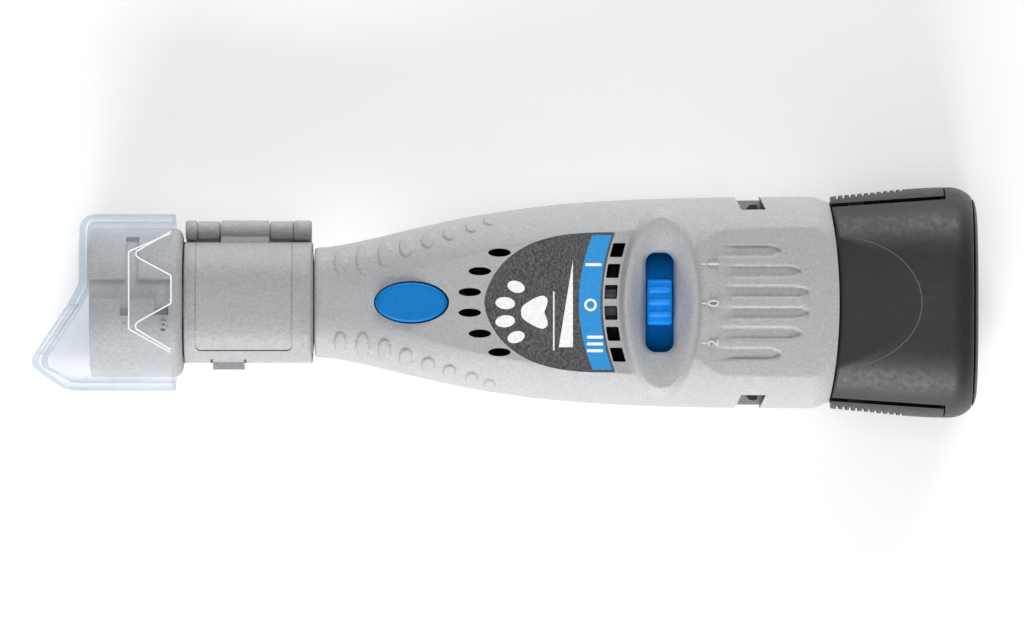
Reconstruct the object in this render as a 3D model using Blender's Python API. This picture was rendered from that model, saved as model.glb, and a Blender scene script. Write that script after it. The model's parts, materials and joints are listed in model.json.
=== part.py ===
"""Cordless pet nail grinder with a clip-on nail guard, lying on its back.

The tool lies along X: the nail guard is at -X, the battery pack at +X and the switch faces up, +Z.
All lengths are in metres. The spindle's axis runs along X at height AXIS_Z, over the origin, and the
origin is the middle of the footprint, on the surface that the tool lies on.
"""

import math

import bmesh
import bpy
from mathutils import Matrix, Vector

MM = 0.001

# ---- driving dimensions -------------------------------------------------------------------------
AXIS_Z = 18.5 * MM  # height of the spindle's axis
GAP = 0.3 * MM  # between pieces that touch
WALL = 2.2 * MM  # housing wall

# housing: it swells from the neck to the grip along one curve
NECK_X = -37.2 * MM
HOUSING_END_X = 66.4 * MM
NECK_HALF_WIDTH = 11.0 * MM
GRIP_SWELL = 10.2 * MM
SWELL_LENGTH = 31.8 * MM
SWELL_POWER = 1.5
DEPTH_TO_WIDTH = 0.88
BODY_POWER = 2.5  # superellipse power of the housing's section
STUB_X = -47.0 * MM  # threaded nose stub
STUB_RADIUS = 7.6 * MM
STUB_BORE = 5.5 * MM

# flat face that carries the button, the vents and the label, and the flat face behind the switch
FACE_X = -26.8 * MM
FACE_Z = 11.1 * MM
REAR_FACE_Z = 17.2 * MM
FACE_RAMP = (26.0 * MM, 38.0 * MM)  # the front face climbs to the rear one between these, under the ring
FACE_WALL = 1.3 * MM

# raised ring round the switch
RING_X = 30.8 * MM
RING_HALF = (8.0 * MM, 19.0 * MM)
RING_CREST = 0.78
RING_SPREAD = 0.16
RING_HEIGHT = 2.3 * MM

# switch
SWITCH_X = 30.6 * MM
WINDOW = (5.4 * MM, 18.6 * MM)
SLIDER_RADIUS = 13.0 * MM  # outside of the curved shutter under the window
KNOB = (4.4 * MM, 9.0 * MM)
KNOB_TOP = 18.8 * MM

# shaft lock button
BUTTON_X = -18.7 * MM
BUTTON_HALF = (7.2 * MM, 3.95 * MM)
BUTTON_TOP = 13.1 * MM

# vents: pairs of ovals in a fan, and an arc of six square ones
OVAL_VENTS = ((-7.1, 2.05), (-5.1, 6.2), (-1.2, 9.9))  # millimetres, mirrored in Y
OVAL_HALF = (2.25 * MM, 0.8 * MM)
SQUARE_VENTS = ((21.1, 2.08), (21.4, 6.25), (22.0, 10.4))
SQUARE_HALF = 1.25 * MM

# label
LABEL_X = (-4.0 * MM, 21.5 * MM)
LABEL_HALF_WIDTH = 13.7 * MM
LABEL_LEVELS = (-0.2 * MM, 0.1 * MM)  # underside and top, from the flat face
LABEL_REAR_RADIUS = 39.7 * MM  # hollow rear edge
LABEL_REAR_X = 19.1 * MM

# grooves in the flat face behind the switch: Y of the middle and X of the rear end, mirrored in Y
FLUTES = ((2.05, 60.6), (6.15, 59.0), (10.25, 55.0))
FLUTE_START_X = 46.0 * MM
FLUTE_HALF_WIDTH = 1.3 * MM
FLUTE_DEPTH = 0.6 * MM

# screws that hold the two housing halves together
SCREW_PLACES = ((-12.0, 11.4), (42.6, 15.6))  # millimetres, mirrored in Y
SCREW_HEAD_Z = -8.0 * MM
SCREW_HEAD = (2.1 * MM, 1.4 * MM)
SCREW_SHANK = 1.1 * MM

# rotating parts
SPINDLE_X = (-60.0 * MM, -12.6 * MM)
DRUM_X = (-81.6 * MM, -68.9 * MM)
BAND_RADIUS = 6.35 * MM
LOCK_COLLAR_RADIUS = 6.2 * MM
LOCK_HOLE = 1.6 * MM
MOTOR_X = (-4.0 * MM, 22.0 * MM)
MOTOR_RADIUS = 11.5 * MM

# nose cap and nail guard
NOSE_CAP_X = (-57.0 * MM, -38.4 * MM)
NOSE_CAP_RADIUS = 10.3 * MM
SLEEVE_X = (-82.8 * MM, -64.4 * MM)
SLEEVE_RADIUS = 14.9 * MM
SLEEVE_WALL = 1.7 * MM
CLAMP_X = (-63.9 * MM, -38.5 * MM)
CLAMP_HALF = 12.1 * MM
HINGE_Y = 14.4 * MM
HINGE_Z = AXIS_Z + 1.0 * MM
HINGE_PIN_RADIUS = 1.45 * MM
KNUCKLE_RADIUS = 2.0 * MM
KNUCKLES_X = ((-63.9 * MM, -61.6 * MM), (-42.4 * MM, -38.7 * MM))
STRAP_X = (-56.8 * MM, -47.2 * MM)
TAB_X = (-59.0 * MM, -52.0 * MM)

# clear cover
COVER_END_X = -66.2 * MM
COVER_HALF = (17.6 * MM, AXIS_Z)
COVER_WALL = 1.5 * MM
COVER_POWER = 4.5
CHIN_TIP = (-94.0 * MM, -10.9 * MM)
PEG_PLACE = (-68.8 * MM, 2.6 * MM)
PEG_RADIUS = 1.6 * MM

# battery pack
PACK_X = (66.8 * MM, 93.2 * MM)
PACK_END_X = 94.0 * MM
PACK_NECK_X = 46.5 * MM
PACK_NECK_HALF = 15.5 * MM
PACK_CAVITY_HALF = 14.65 * MM
CELL = (7.0 * MM, 42.0 * MM)
CELL_PITCH = 7.15 * MM

# latch levers on the pack's sides
LEVER_HINGE = (89.0 * MM, 21.6 * MM)
LEVER_SLOT = ((65.3 * MM, 19.0 * MM), (90.2 * MM, 20.7 * MM))
SLOT_WIDTH = 0.65 * MM
LEVER_SILL = -7.5 * MM  # the levers sit on a sill of the case at this height from the axis
TONGUE = (87.3 * MM, 20.3 * MM, 4.7 * MM)  # X and Y it starts at, half height
ARM_Y = (16.8 * MM, 18.0 * MM)
ARM_HALF_HEIGHT = 6.0 * MM
ARM_FRONT_X = 47.6 * MM
HOOK_TOP_Y = 19.5 * MM
LATCH_WINDOW_X = (47.0 * MM, 51.8 * MM)
LATCH_WINDOW_Z = (-6.4 * MM, 11.2 * MM)  # from the axis

# name: (linear colour, roughness, metallic)
FINISHES = {
    "grey_plastic": ((0.46, 0.46, 0.47), 0.55, 0.0),
    "dark_plastic": ((0.035, 0.035, 0.037), 0.5, 0.0),
    "blue_plastic": ((0.003, 0.16, 0.50), 0.3, 0.0),
    "clear_plastic": ((0.85, 0.92, 0.97), 0.05, 0.0),
    "label_ink": ((0.03, 0.03, 0.032), 0.4, 0.0),
    "black_plastic": ((0.02, 0.02, 0.02), 0.5, 0.0),
    "steel": ((0.55, 0.55, 0.56), 0.3, 1.0),
    "bronze": ((0.45, 0.28, 0.12), 0.4, 1.0),
    "copper": ((0.70, 0.32, 0.18), 0.35, 1.0),
    "magnet": ((0.10, 0.10, 0.11), 0.6, 0.0),
    "rubber": ((0.02, 0.02, 0.02), 0.8, 0.0),
    "abrasive": ((0.30, 0.12, 0.06), 0.95, 0.0),
    "cell_wrap": ((0.05, 0.22, 0.10), 0.35, 0.0),
}


# ---- general helpers ----------------------------------------------------------------------------
def clear_scene():
    for old in list(bpy.data.objects):
        bpy.data.objects.remove(old)


def material(name):
    found = bpy.data.materials.get(name)
    if found:
        return found
    colour, roughness, metallic = FINISHES[name]
    made = bpy.data.materials.new(name)
    made.use_nodes = True
    shader = made.node_tree.nodes["Principled BSDF"]
    shader.inputs["Base Color"].default_value = (*colour, 1.0)
    shader.inputs["Roughness"].default_value = roughness
    shader.inputs["Metallic"].default_value = metallic
    return made


def add_object(name, mesh, finish):
    made = bpy.data.objects.new(name, mesh)
    bpy.context.scene.collection.objects.link(made)
    if finish:
        mesh.materials.append(material(finish))
    return made


def finish_mesh(name, builder, finish):
    """Turns a bmesh into an object with its faces pointing out and its round faces shaded smooth."""
    bmesh.ops.recalc_face_normals(builder, faces=builder.faces)
    mesh = bpy.data.meshes.new(name)
    builder.to_mesh(mesh)
    builder.free()
    mesh.shade_smooth()
    mesh.set_sharp_from_angle(angle=math.radians(35))
    return add_object(name, mesh, finish)


def pivot(name, place):
    """An empty on a joint's axis."""
    empty = bpy.data.objects.new(name, None)
    empty.location = place
    bpy.context.scene.collection.objects.link(empty)
    return empty


def attach(piece, joint):
    """Gives a piece its origin on the joint's axis, without moving it."""
    piece.data.transform(Matrix.Translation(-joint.location))
    piece.parent = joint
    return piece


def helper(tool):
    """A solid that only shapes another one."""
    tool.hide_render = True
    tool.display_type = "WIRE"
    return tool


def combine(target, tool, operation):
    step = target.modifiers.new(operation.title() + " " + tool.name, "BOOLEAN")
    step.operation = operation
    step.solver = "EXACT"
    step.object = helper(tool)


def cut(target, *tools):
    for tool in tools:
        combine(target, tool, "DIFFERENCE")


def join(target, *tools):
    for tool in tools:
        combine(target, tool, "UNION")


# ---- solids -------------------------------------------------------------------------------------
def loft(name, rings, finish=None):
    """A closed solid through rings of equal length, with flat ends."""
    builder = bmesh.new()
    rows = [[builder.verts.new(point) for point in ring] for ring in rings]
    count = len(rows[0])
    for row, following in zip(rows, rows[1:]):
        for i in range(count):
            j = (i + 1) % count
            builder.faces.new((row[i], row[j], following[j], following[i]))
    warped = [face for face in builder.faces if not flat(face)]
    bmesh.ops.triangulate(builder, faces=warped)
    builder.faces.new(rows[0])
    builder.faces.new(rows[-1])
    return finish_mesh(name, builder, finish)


def flat(face):
    a, b, c, d = (corner.co for corner in face.verts)
    return abs((b - a).cross(c - a).normalized().dot(d - a)) < 1e-8


def prism(name, outline, low, high, finish=None, axis="Z"):
    """An outline in XY (or in YZ for axis X) pushed from low to high along the axis."""
    if axis == "Z":
        rings = [[Vector((x, y, level)) for x, y in outline] for level in (low, high)]
    else:
        rings = [[Vector((level, y, z)) for y, z in outline] for level in (low, high)]
    return loft(name, rings, finish)


def block(name, low, high, finish=None):
    """A box between two corners."""
    (x0, y0, z0), (x1, y1, z1) = low, high
    return prism(name, ((x0, y0), (x1, y0), (x1, y1), (x0, y1)), z0, z1, finish)


def turned(name, profile, finish=None, segments=20, y=0.0, z=AXIS_Z):
    """A closed profile of (x, radius) points turned about a line along X at (y, z)."""
    builder = bmesh.new()
    rows = []
    for x, radius in profile:
        if radius == 0:
            rows.append([builder.verts.new((x, y, z))] * segments)
            continue
        turns = [2 * math.pi * i / segments for i in range(segments)]
        rows.append(
            [builder.verts.new((x, y + radius * math.cos(a), z + radius * math.sin(a))) for a in turns]
        )
    for row, following in zip(rows, rows[1:] + rows[:1]):
        for i in range(segments):
            j = (i + 1) % segments
            corners = list(dict.fromkeys((row[i], row[j], following[j], following[i])))
            if len(corners) > 2:
                builder.faces.new(corners)
    return finish_mesh(name, builder, finish)


def tube(name, x0, x1, outside, inside, finish=None, segments=20, y=0.0, z=AXIS_Z):
    profile = ((x0, outside), (x1, outside), (x1, inside), (x0, inside))
    return turned(name, profile, finish, segments, y, z)


def rod(name, x0, x1, radius, finish=None, segments=20, y=0.0, z=AXIS_Z):
    return turned(name, ((x0, 0), (x0, radius), (x1, radius), (x1, 0)), finish, segments, y, z)


def post(name, x, y, low, high, radius, finish=None, segments=16):
    """An upright cylinder."""
    return prism(name, ellipse((x, y), (radius, radius), segments), low, high, finish)


def ellipse(centre, half, segments=32):
    turns = [2 * math.pi * i / segments for i in range(segments)]
    return [(centre[0] + half[0] * math.cos(a), centre[1] + half[1] * math.sin(a)) for a in turns]


def signed_power(value, power):
    return math.copysign(abs(value) ** power, value)


def superellipse(half_width, half_depth, power, angle):
    """(y, z) from the axis, at an angle from +Y towards +Z."""
    share = 2 / power
    return (
        half_width * signed_power(math.cos(angle), share),
        half_depth * signed_power(math.sin(angle), share),
    )


def section(x, half_width, half_depth, power, segments=40):
    """A whole superellipse ring at x."""
    ring = []
    for i in range(segments):
        y, z = superellipse(half_width, half_depth, power, 2 * math.pi * i / segments)
        ring.append(Vector((x, y, AXIS_Z + z)))
    return ring


def coil(name, centre, radius, wire, low, high, turns, finish, axis="Z"):
    """A compression spring on a line along Z or Y through centre."""
    curve = bpy.data.curves.new(name, "CURVE")
    curve.dimensions = "3D"
    curve.bevel_depth = wire
    curve.bevel_resolution = 0
    curve.use_fill_caps = True
    steps = round(8 * turns)
    spline = curve.splines.new("POLY")
    spline.points.add(steps)
    for i, point in enumerate(spline.points):
        a = 2 * math.pi * turns * i / steps
        across, along = (radius * math.cos(a), radius * math.sin(a)), low + (high - low) * i / steps
        place = (across[0], across[1], along) if axis == "Z" else (across[0], along, across[1])
        point.co = (*(Vector(centre) + Vector(place)), 1)
    curve.materials.append(material(finish))
    made = bpy.data.objects.new(name, curve)
    bpy.context.scene.collection.objects.link(made)
    return made


# ---- housing ------------------------------------------------------------------------------------
def housing_half_width(x):
    along = max(0.0, x - NECK_X) / SWELL_LENGTH
    return NECK_HALF_WIDTH + GRIP_SWELL * (1 - math.exp(-(along**SWELL_POWER)))


def face_height(x):
    """Height over the axis of the flat face in front of the switch, and of the one behind it."""
    start, end = FACE_RAMP
    along = (min(x, start) - FACE_X) / MM
    front = FACE_Z + (0.158 * along - 0.00172 * along**2) * MM
    share = min(1.0, max(0.0, (x - start) / (end - start)))
    return front + (REAR_FACE_Z - front) * share * share * (3 - 2 * share)


def ring_bump(x, y):
    reach = math.hypot((x - RING_X) / RING_HALF[0], y / RING_HALF[1])
    return RING_HEIGHT * math.exp(-(((reach - RING_CREST) / RING_SPREAD) ** 2))


def front_skin(x, angle):
    """Outer point of the switch side's shell: rounded body, flat face and the ring round the switch."""
    width = housing_half_width(x)
    depth = width * DEPTH_TO_WIDTH
    y, z = superellipse(width, depth, BODY_POWER, angle)
    z = max(0.0, min(z, face_height(x)))
    bump = ring_bump(x, y)
    out = Vector((y / width**2, z / depth**2)).normalized()
    return y + bump * out.x, z + bump * out.y


def back_skin(x, angle):
    """Outer point of the lower shell, which is flat where it meets the surface it lies on."""
    width = housing_half_width(x)
    y, z = superellipse(width, width * DEPTH_TO_WIDTH, BODY_POWER, angle)
    return y, min(z, AXIS_Z - GAP / 2)


def half_shell_ring(x, outer, inner, side, outer_count, inner_count):
    """A half ring at x: outer arc, then inner arc back. side is 1 above the parting plane and -1 below."""
    ring = []
    for i in range(outer_count):
        y, z = outer(x, math.pi * i / (outer_count - 1))
        ring.append(Vector((x, y, AXIS_Z + side * (z + GAP / 2))))
    for i in range(inner_count):
        y, z = inner(x, math.pi * (1 - i / (inner_count - 1)))
        ring.append(Vector((x, y, AXIS_Z + side * (z + GAP / 2))))
    return ring


def round_arc(radius):
    return lambda x, angle: (radius * math.cos(angle), radius * math.sin(angle))


def housing_inside(x, angle):
    width = housing_half_width(x) - WALL
    y, z = superellipse(width, width * DEPTH_TO_WIDTH, BODY_POWER, angle)
    return y, min(z, face_height(x) - FACE_WALL)


def middle_of_wall(x, angle):
    width = housing_half_width(x)
    y, z = superellipse(width - 0.8 * MM, width * DEPTH_TO_WIDTH - 0.8 * MM, BODY_POWER, angle)
    return y, min(z, face_height(x) - 0.6 * MM)


def rib(name, side, x0, x1, bore):
    """A cross wall with a half-round seat, standing in a shell."""
    rings = [half_shell_ring(x, middle_of_wall, round_arc(bore), side, 13, 11) for x in (x0, x1)]
    return loft(name, rings)


def housing_stations(fine):
    """X places of the shell's rings; closer together round the switch where fine is set."""
    places = [-36.9, -31, -24, -17, -9, 0, 9, 18.5]
    places += [22.8 + 1.8 * i for i in range(10)] if fine else [30, 42]
    return [x * MM for x in places + [52]] + [HOUSING_END_X]


def housing_shell(name, side, outer, outer_count, fine):
    stub_end = NECK_X - 1.0 * MM
    stub = [
        half_shell_ring(x, round_arc(STUB_RADIUS), round_arc(STUB_BORE), side, outer_count, 9)
        for x in (STUB_X, stub_end)
    ]
    shoulder = [
        half_shell_ring(NECK_X - 0.9 * MM, outer, round_arc(STUB_BORE), side, outer_count, 9),
    ]
    body = [
        half_shell_ring(x, outer, housing_inside, side, outer_count, 9)
        for x in housing_stations(fine)
    ]
    shell = loft(name, stub + shoulder + body, "grey_plastic")
    join(
        shell,
        rib(name + "_bearing_rib", side, -26.6 * MM, -24.6 * MM, 5.5 * MM),
        rib(name + "_motor_rib", side, -2.6 * MM, -1.0 * MM, MOTOR_RADIUS + GAP),
        rib(name + "_motor_rear_rib", side, 17.4 * MM, 19.0 * MM, MOTOR_RADIUS + GAP),
    )
    return shell


def screw_places():
    return [(x * MM, sign * y * MM) for x, y in SCREW_PLACES for sign in (1, -1)]


def latch_windows(name):
    """Cutters for the two side windows that the pack's hooks catch in."""
    made = []
    for label, sign in (("left", 1), ("right", -1)):
        low_y, high_y = sorted((sign * 17.4 * MM, sign * 25 * MM))
        made.append(
            block(
                f"{name}_{label}",
                (LATCH_WINDOW_X[0], low_y, AXIS_Z + LATCH_WINDOW_Z[0]),
                (LATCH_WINDOW_X[1], high_y, AXIS_Z + LATCH_WINDOW_Z[1]),
            )
        )
    return made


def housing_front():
    shell = housing_shell("housing_front", 1, front_skin, 23, True)
    bridge = block(
        "lock_bridge",
        (BUTTON_X - 3.4 * MM, -11.9 * MM, AXIS_Z + 6.5 * MM),
        (BUTTON_X + 3.4 * MM, 11.9 * MM, AXIS_Z + 7.3 * MM),
    )
    join(shell, bridge)
    for i, (x, y) in enumerate(screw_places()):
        top = 0.54 * housing_half_width(x)
        join(shell, post(f"front_boss_{i}", x, y, AXIS_Z + GAP / 2, AXIS_Z + top, 2.5 * MM, segments=16))
        pilot = post(f"front_pilot_{i}", x, y, AXIS_Z - MM, AXIS_Z + 6 * MM, SCREW_SHANK + 0.2 * MM, None, 12)
        cut(shell, pilot)
    top = AXIS_Z + 25 * MM
    inside = AXIS_Z + 8 * MM
    hole = [half + GAP for half in BUTTON_HALF]
    pocket = [half + 1.15 * MM for half in BUTTON_HALF]
    cut(
        shell,
        prism("button_pocket", ellipse((BUTTON_X, 0), pocket), AXIS_Z + 7.35 * MM, AXIS_Z + 10 * MM),
        prism("button_hole", ellipse((BUTTON_X, 0), hole), inside, top),
        post("lock_pin_hole", BUTTON_X, 0, AXIS_Z + 5 * MM, inside + MM, LOCK_HOLE),
        block(
            "switch_window",
            (SWITCH_X - WINDOW[0] / 2, -WINDOW[1] / 2, inside),
            (SWITCH_X + WINDOW[0] / 2, WINDOW[1] / 2, top),
        ),
        *vent_cutters(inside, top),
        label_form("label_recess", GAP, LABEL_LEVELS[0] - GAP, 6 * MM),
        *flute_cutters(),
        *latch_windows("front_latch_window"),
    )
    return shell


def flute_cutters():
    made = []
    floor = AXIS_Z + REAR_FACE_Z - FLUTE_DEPTH
    for i, (y, end) in enumerate(FLUTES):
        for sign in (1, -1):
            low = (FLUTE_START_X, sign * y * MM - FLUTE_HALF_WIDTH, floor)
            high = (end * MM, sign * y * MM + FLUTE_HALF_WIDTH, AXIS_Z + 25 * MM)
            made.append(block(f"flute_{i}_{sign}", low, high))
    return made


def vent_cutters(inside, top):
    cutters = []
    for i, (x, y) in enumerate(OVAL_VENTS):
        for sign in (1, -1):
            outline = ellipse((x * MM, sign * y * MM), OVAL_HALF, 10)
            cutters.append(prism(f"oval_vent_{i}_{sign}", outline, inside, top))
    for i, (x, y) in enumerate(SQUARE_VENTS):
        for sign in (1, -1):
            centre = (x * MM, sign * y * MM)
            low = (centre[0] - SQUARE_HALF, centre[1] - SQUARE_HALF, inside)
            high = (centre[0] + SQUARE_HALF, centre[1] + SQUARE_HALF, top)
            cutters.append(block(f"square_vent_{i}_{sign}", low, high))
    return cutters


def label_half_width(x):
    """The label's sides: narrow and round at the front, nearly straight at the rear."""
    start, end = LABEL_X
    return LABEL_HALF_WIDTH * (1 - ((end - x) / (end - start)) ** 3) ** 0.74


def label_form(name, spread, low, high, finish=None):
    """The label's outline as a plate that follows the flat face, from low to high over it."""
    start, end = LABEL_X
    count = 12
    rings = []
    for i in range(count):
        share = 1 - math.cos(math.pi / 2 * (i + 0.35) / (count - 0.65))
        x = start + (end - start) * share
        half = label_half_width(x) + spread
        bottom, top = (AXIS_Z + face_height(x) + level for level in (low, high))
        rings.append([Vector((x, -half, bottom)), Vector((x, half, bottom))])
        rings[-1] += [Vector((x, half, top)), Vector((x, -half, top))]
    rings[0] = [point - Vector((spread, 0, 0)) for point in rings[0]]
    rings[-1] = [point + Vector((spread, 0, 0)) for point in rings[-1]]
    form = loft(name, rings, finish)
    centre = LABEL_REAR_X + LABEL_REAR_RADIUS
    cut(form, post(name + "_rear", centre, 0, 0, 60 * MM, LABEL_REAR_RADIUS - spread, None, 64))
    return form


def housing_back():
    shell = housing_shell("housing_back", -1, back_skin, 17, False)
    for i, (x, y) in enumerate(screw_places()):
        seat = AXIS_Z + SCREW_HEAD_Z
        bottom = 0.54 * housing_half_width(x) - 0.3 * MM
        hole = SCREW_SHANK + 0.2 * MM
        join(shell, post(f"back_boss_{i}", x, y, AXIS_Z - bottom, AXIS_Z - GAP / 2, 2.9 * MM, segments=16))
        cut(shell, post(f"back_hole_{i}", x, y, seat - MM, AXIS_Z + MM, hole, None, 12))
        cut(shell, post(f"back_counterbore_{i}", x, y, -5 * MM, seat, SCREW_HEAD[0] + 0.2 * MM, None, 16))
    cut(shell, *latch_windows("back_latch_window"))
    return shell


def housing_screws():
    """A cross-recessed screw in each counterbore."""
    seat = AXIS_Z + SCREW_HEAD_Z - GAP / 2
    head_radius, head_thick = SCREW_HEAD
    for i, (x, y) in enumerate(screw_places()):
        name = f"housing_screw_{i + 1}"
        screw = post(name, x, y, seat - head_thick, seat, head_radius, "steel", 16)
        join(screw, post(name + "_shank", x, y, seat - 0.5 * MM, AXIS_Z + 5 * MM, SCREW_SHANK, None, 12))
        for turn, (half_x, half_y) in enumerate(((1.4, 0.28), (0.28, 1.4))):
            low = (x - half_x * MM, y - half_y * MM, seat - head_thick - MM)
            high = (x + half_x * MM, y + half_y * MM, seat - head_thick + 0.8 * MM)
            cut(screw, block(f"{name}_recess_{turn}", low, high))


def nose_cap():
    """Screws onto the housing's stub and shrouds the collet nut."""
    x0, x1 = NOSE_CAP_X
    turned(
        "nose_cap",
        (
            (x0, 6.3 * MM),
            (x0, 8.6 * MM),
            (x0 + 2.0 * MM, NOSE_CAP_RADIUS),
            (x1, NOSE_CAP_RADIUS),
            (x1, STUB_RADIUS + GAP),
            (STUB_X - 0.5 * MM, STUB_RADIUS + GAP),
            (STUB_X - 0.5 * MM, 6.3 * MM),
        ),
        "grey_plastic",
        32,
    )


# ---- controls -----------------------------------------------------------------------------------
def lock_button(joint):
    """Blue oval button with a retaining flange and the pin that enters the lock collar."""
    under = AXIS_Z + 9.0 * MM
    shoulder = AXIS_Z + BUTTON_TOP - 0.9 * MM
    crown = AXIS_Z + BUTTON_TOP
    rings = []
    for level, share in ((under, 1.0), (shoulder, 1.0), (crown - 0.3 * MM, 0.93), (crown, 0.62)):
        outline = ellipse((BUTTON_X, 0), [share * half for half in BUTTON_HALF], 28)
        rings.append([Vector((x, y, level)) for x, y in outline])
    button = loft("lock_button", rings, "blue_plastic")
    flange = ellipse((BUTTON_X, 0), [half + 0.8 * MM for half in BUTTON_HALF], 28)
    join(
        button,
        prism("lock_button_flange", flange, under + 0.1 * MM, under + 0.8 * MM),
        post("lock_pin", BUTTON_X, 0, AXIS_Z + 6.5 * MM, under + 0.5 * MM, LOCK_HOLE - 0.4 * MM),
    )
    attach(button, joint)
    for modifier in button.modifiers:
        attach(modifier.object, joint)


def switch_slider(joint):
    """Ribbed knob on a curved shutter that keeps the window shut as the knob moves."""
    half_length = KNOB[0] / 2
    shutter_half = 3.3 * MM
    inner = SLIDER_RADIUS - 1.0 * MM
    reach = math.radians(60)
    steps = 16
    arcs = [math.pi / 2 - reach + 2 * reach * i / steps for i in range(steps + 1)]
    outline = [(SLIDER_RADIUS * math.cos(a), AXIS_Z + SLIDER_RADIUS * math.sin(a)) for a in arcs]
    outline += [(inner * math.cos(a), AXIS_Z + inner * math.sin(a)) for a in reversed(arcs)]
    shutter = prism(
        "switch_slider", outline, SWITCH_X - shutter_half, SWITCH_X + shutter_half, "blue_plastic", "X"
    )
    top = AXIS_Z + KNOB_TOP
    half = KNOB[1] / 2
    base = AXIS_Z + inner + 0.3 * MM
    knob = [(-half, base), (half, base), (half, top - 1.4 * MM)]
    ridges = 4
    for i in range(ridges):
        right = half - 0.5 * MM - (KNOB[1] - MM) * i / ridges
        left = half - 0.5 * MM - (KNOB[1] - MM) * (i + 1) / ridges
        for y, dip in ((right, 0.35), (0.7 * right + 0.3 * left, 0.0), (0.3 * right + 0.7 * left, 0.0)):
            knob.append((y, top - (y / half) ** 2 * 0.8 * MM - dip * MM))
    knob.append((-half, top - 1.4 * MM))
    lug = [(-0.9 * MM, AXIS_Z + 8.9 * MM), (0.9 * MM, AXIS_Z + 8.9 * MM)]
    lug += [(0.9 * MM, AXIS_Z + inner + 0.2 * MM), (-0.9 * MM, AXIS_Z + inner + 0.2 * MM)]
    join(
        shutter,
        prism("switch_knob", knob, SWITCH_X - half_length, SWITCH_X + half_length, axis="X"),
        prism("switch_lug", lug, SWITCH_X - 1.2 * MM, SWITCH_X + 1.2 * MM, axis="X"),
    )
    attach(shutter, joint)
    for modifier in shutter.modifiers:
        attach(modifier.object, joint)


def switch_module():
    """The electrical slide switch under the shutter, with its two solder tags' block."""
    body = block(
        "switch_module",
        (SWITCH_X - 3.6 * MM, -6.6 * MM, AXIS_Z + 2.6 * MM),
        (SWITCH_X + 3.6 * MM, 6.6 * MM, AXIS_Z + 9.4 * MM),
        "black_plastic",
    )
    cut(
        body,
        block(
            "switch_module_slot",
            (SWITCH_X - 1.6 * MM, -4.6 * MM, AXIS_Z + 8.4 * MM),
            (SWITCH_X + 1.6 * MM, 4.6 * MM, AXIS_Z + 12 * MM),
        ),
    )


# ---- rotating parts -----------------------------------------------------------------------------
def star(count, hub, tip, hub_half, tip_half, turn=0.0):
    """(y, z) outline with blades or poles: each has its root on the hub and its end at the tip radius."""
    outline = []
    for i in range(count):
        middle = 2 * math.pi * i / count + turn
        corners = ((hub, -hub_half), (tip, -tip_half), (tip, tip_half), (hub, hub_half))
        outline += [(r * math.cos(middle + a), r * math.sin(middle + a)) for r, a in corners]
    return outline


def star_solid(name, levels, outlines, bore, finish):
    rings = [
        [Vector((x, y, AXIS_Z + z)) for y, z in outline] for x, outline in zip(levels, outlines)
    ]
    made = loft(name, rings, finish)
    cut(made, rod(name + "_bore", levels[0] - MM, levels[-1] + MM, bore, segments=20))
    return made


def spindle_parts(joint):
    x0, x1 = SPINDLE_X
    drum0, drum1 = DRUM_X
    pieces = [
        tube("sanding_band", drum0, drum1, BAND_RADIUS, BAND_RADIUS - 0.8 * MM, "abrasive", 28),
        tube("drum_rubber", drum0, drum1, BAND_RADIUS - 1.1 * MM, 2.2 * MM, "rubber", 24),
        turned(
            "mandrel",
            (
                (drum0 + 0.4 * MM, 0),
                (drum0 + 0.4 * MM, 1.9 * MM),
                (drum1 + GAP, 1.9 * MM),
                (drum1 + GAP, 4.3 * MM),
                (drum1 + 1.3 * MM, 4.3 * MM),
                (drum1 + 1.9 * MM, 1.6 * MM),
                (-54.0 * MM, 1.6 * MM),
                (-54.0 * MM, 0),
            ),
            "steel",
        ),
        turned(
            "collet_nut",
            (
                (-66.4 * MM, 2.1 * MM),
                (-66.4 * MM, 3.8 * MM),
                (-63.6 * MM, 5.5 * MM),
                (-54.8 * MM, 5.5 * MM),
                (-54.8 * MM, 4.5 * MM),
                (-61.4 * MM, 4.5 * MM),
                (-64.2 * MM, 3.0 * MM),
                (-64.2 * MM, 2.1 * MM),
            ),
            "steel",
            24,
        ),
        turned(
            "spindle",
            (
                (x0, 3.0 * MM),
                (x0, 4.2 * MM),
                (-49.5 * MM, 4.2 * MM),
                (-49.5 * MM, 3.0 * MM),
                (x1, 3.0 * MM),
                (x1, 0),
                (-53.0 * MM, 0),
                (-53.0 * MM, 3.0 * MM),
            ),
            "steel",
        ),
        lock_collar(),
        turned(
            "coupling",
            (
                (-15.4 * MM, 3.3 * MM),
                (-15.4 * MM, 4.6 * MM),
                (-14.4 * MM, 5.2 * MM),
                (-10.2 * MM, 5.2 * MM),
                (-9.4 * MM, 4.6 * MM),
                (-9.4 * MM, 1.45 * MM),
                (-12.3 * MM, 1.45 * MM),
                (-12.3 * MM, 3.3 * MM),
            ),
            "rubber",
        ),
        rod("motor_shaft", -12.0 * MM, 27.0 * MM, 1.15 * MM, "steel", 20),
        star_solid(
            "cooling_fan",
            (-8.9 * MM, -5.0 * MM),
            [star(9, 3.4 * MM, 10.4 * MM, 0.28, 0.05, turn) for turn in (0.0, 0.30)],
            1.35 * MM,
            "black_plastic",
        ),
        star_solid(
            "armature",
            (2.0 * MM, 15.0 * MM),
            [star(3, 5.0 * MM, 8.4 * MM, 0.35, 0.85)] * 2,
            1.35 * MM,
            "copper",
        ),
        tube("commutator", 16.0 * MM, 20.4 * MM, 3.0 * MM, 1.35 * MM, "copper", 20),
    ]
    pieces += [collet(), mandrel_screw()]
    for piece in pieces:
        attach(piece, joint)
        for modifier in piece.modifiers:
            attach(modifier.object, joint)


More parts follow.
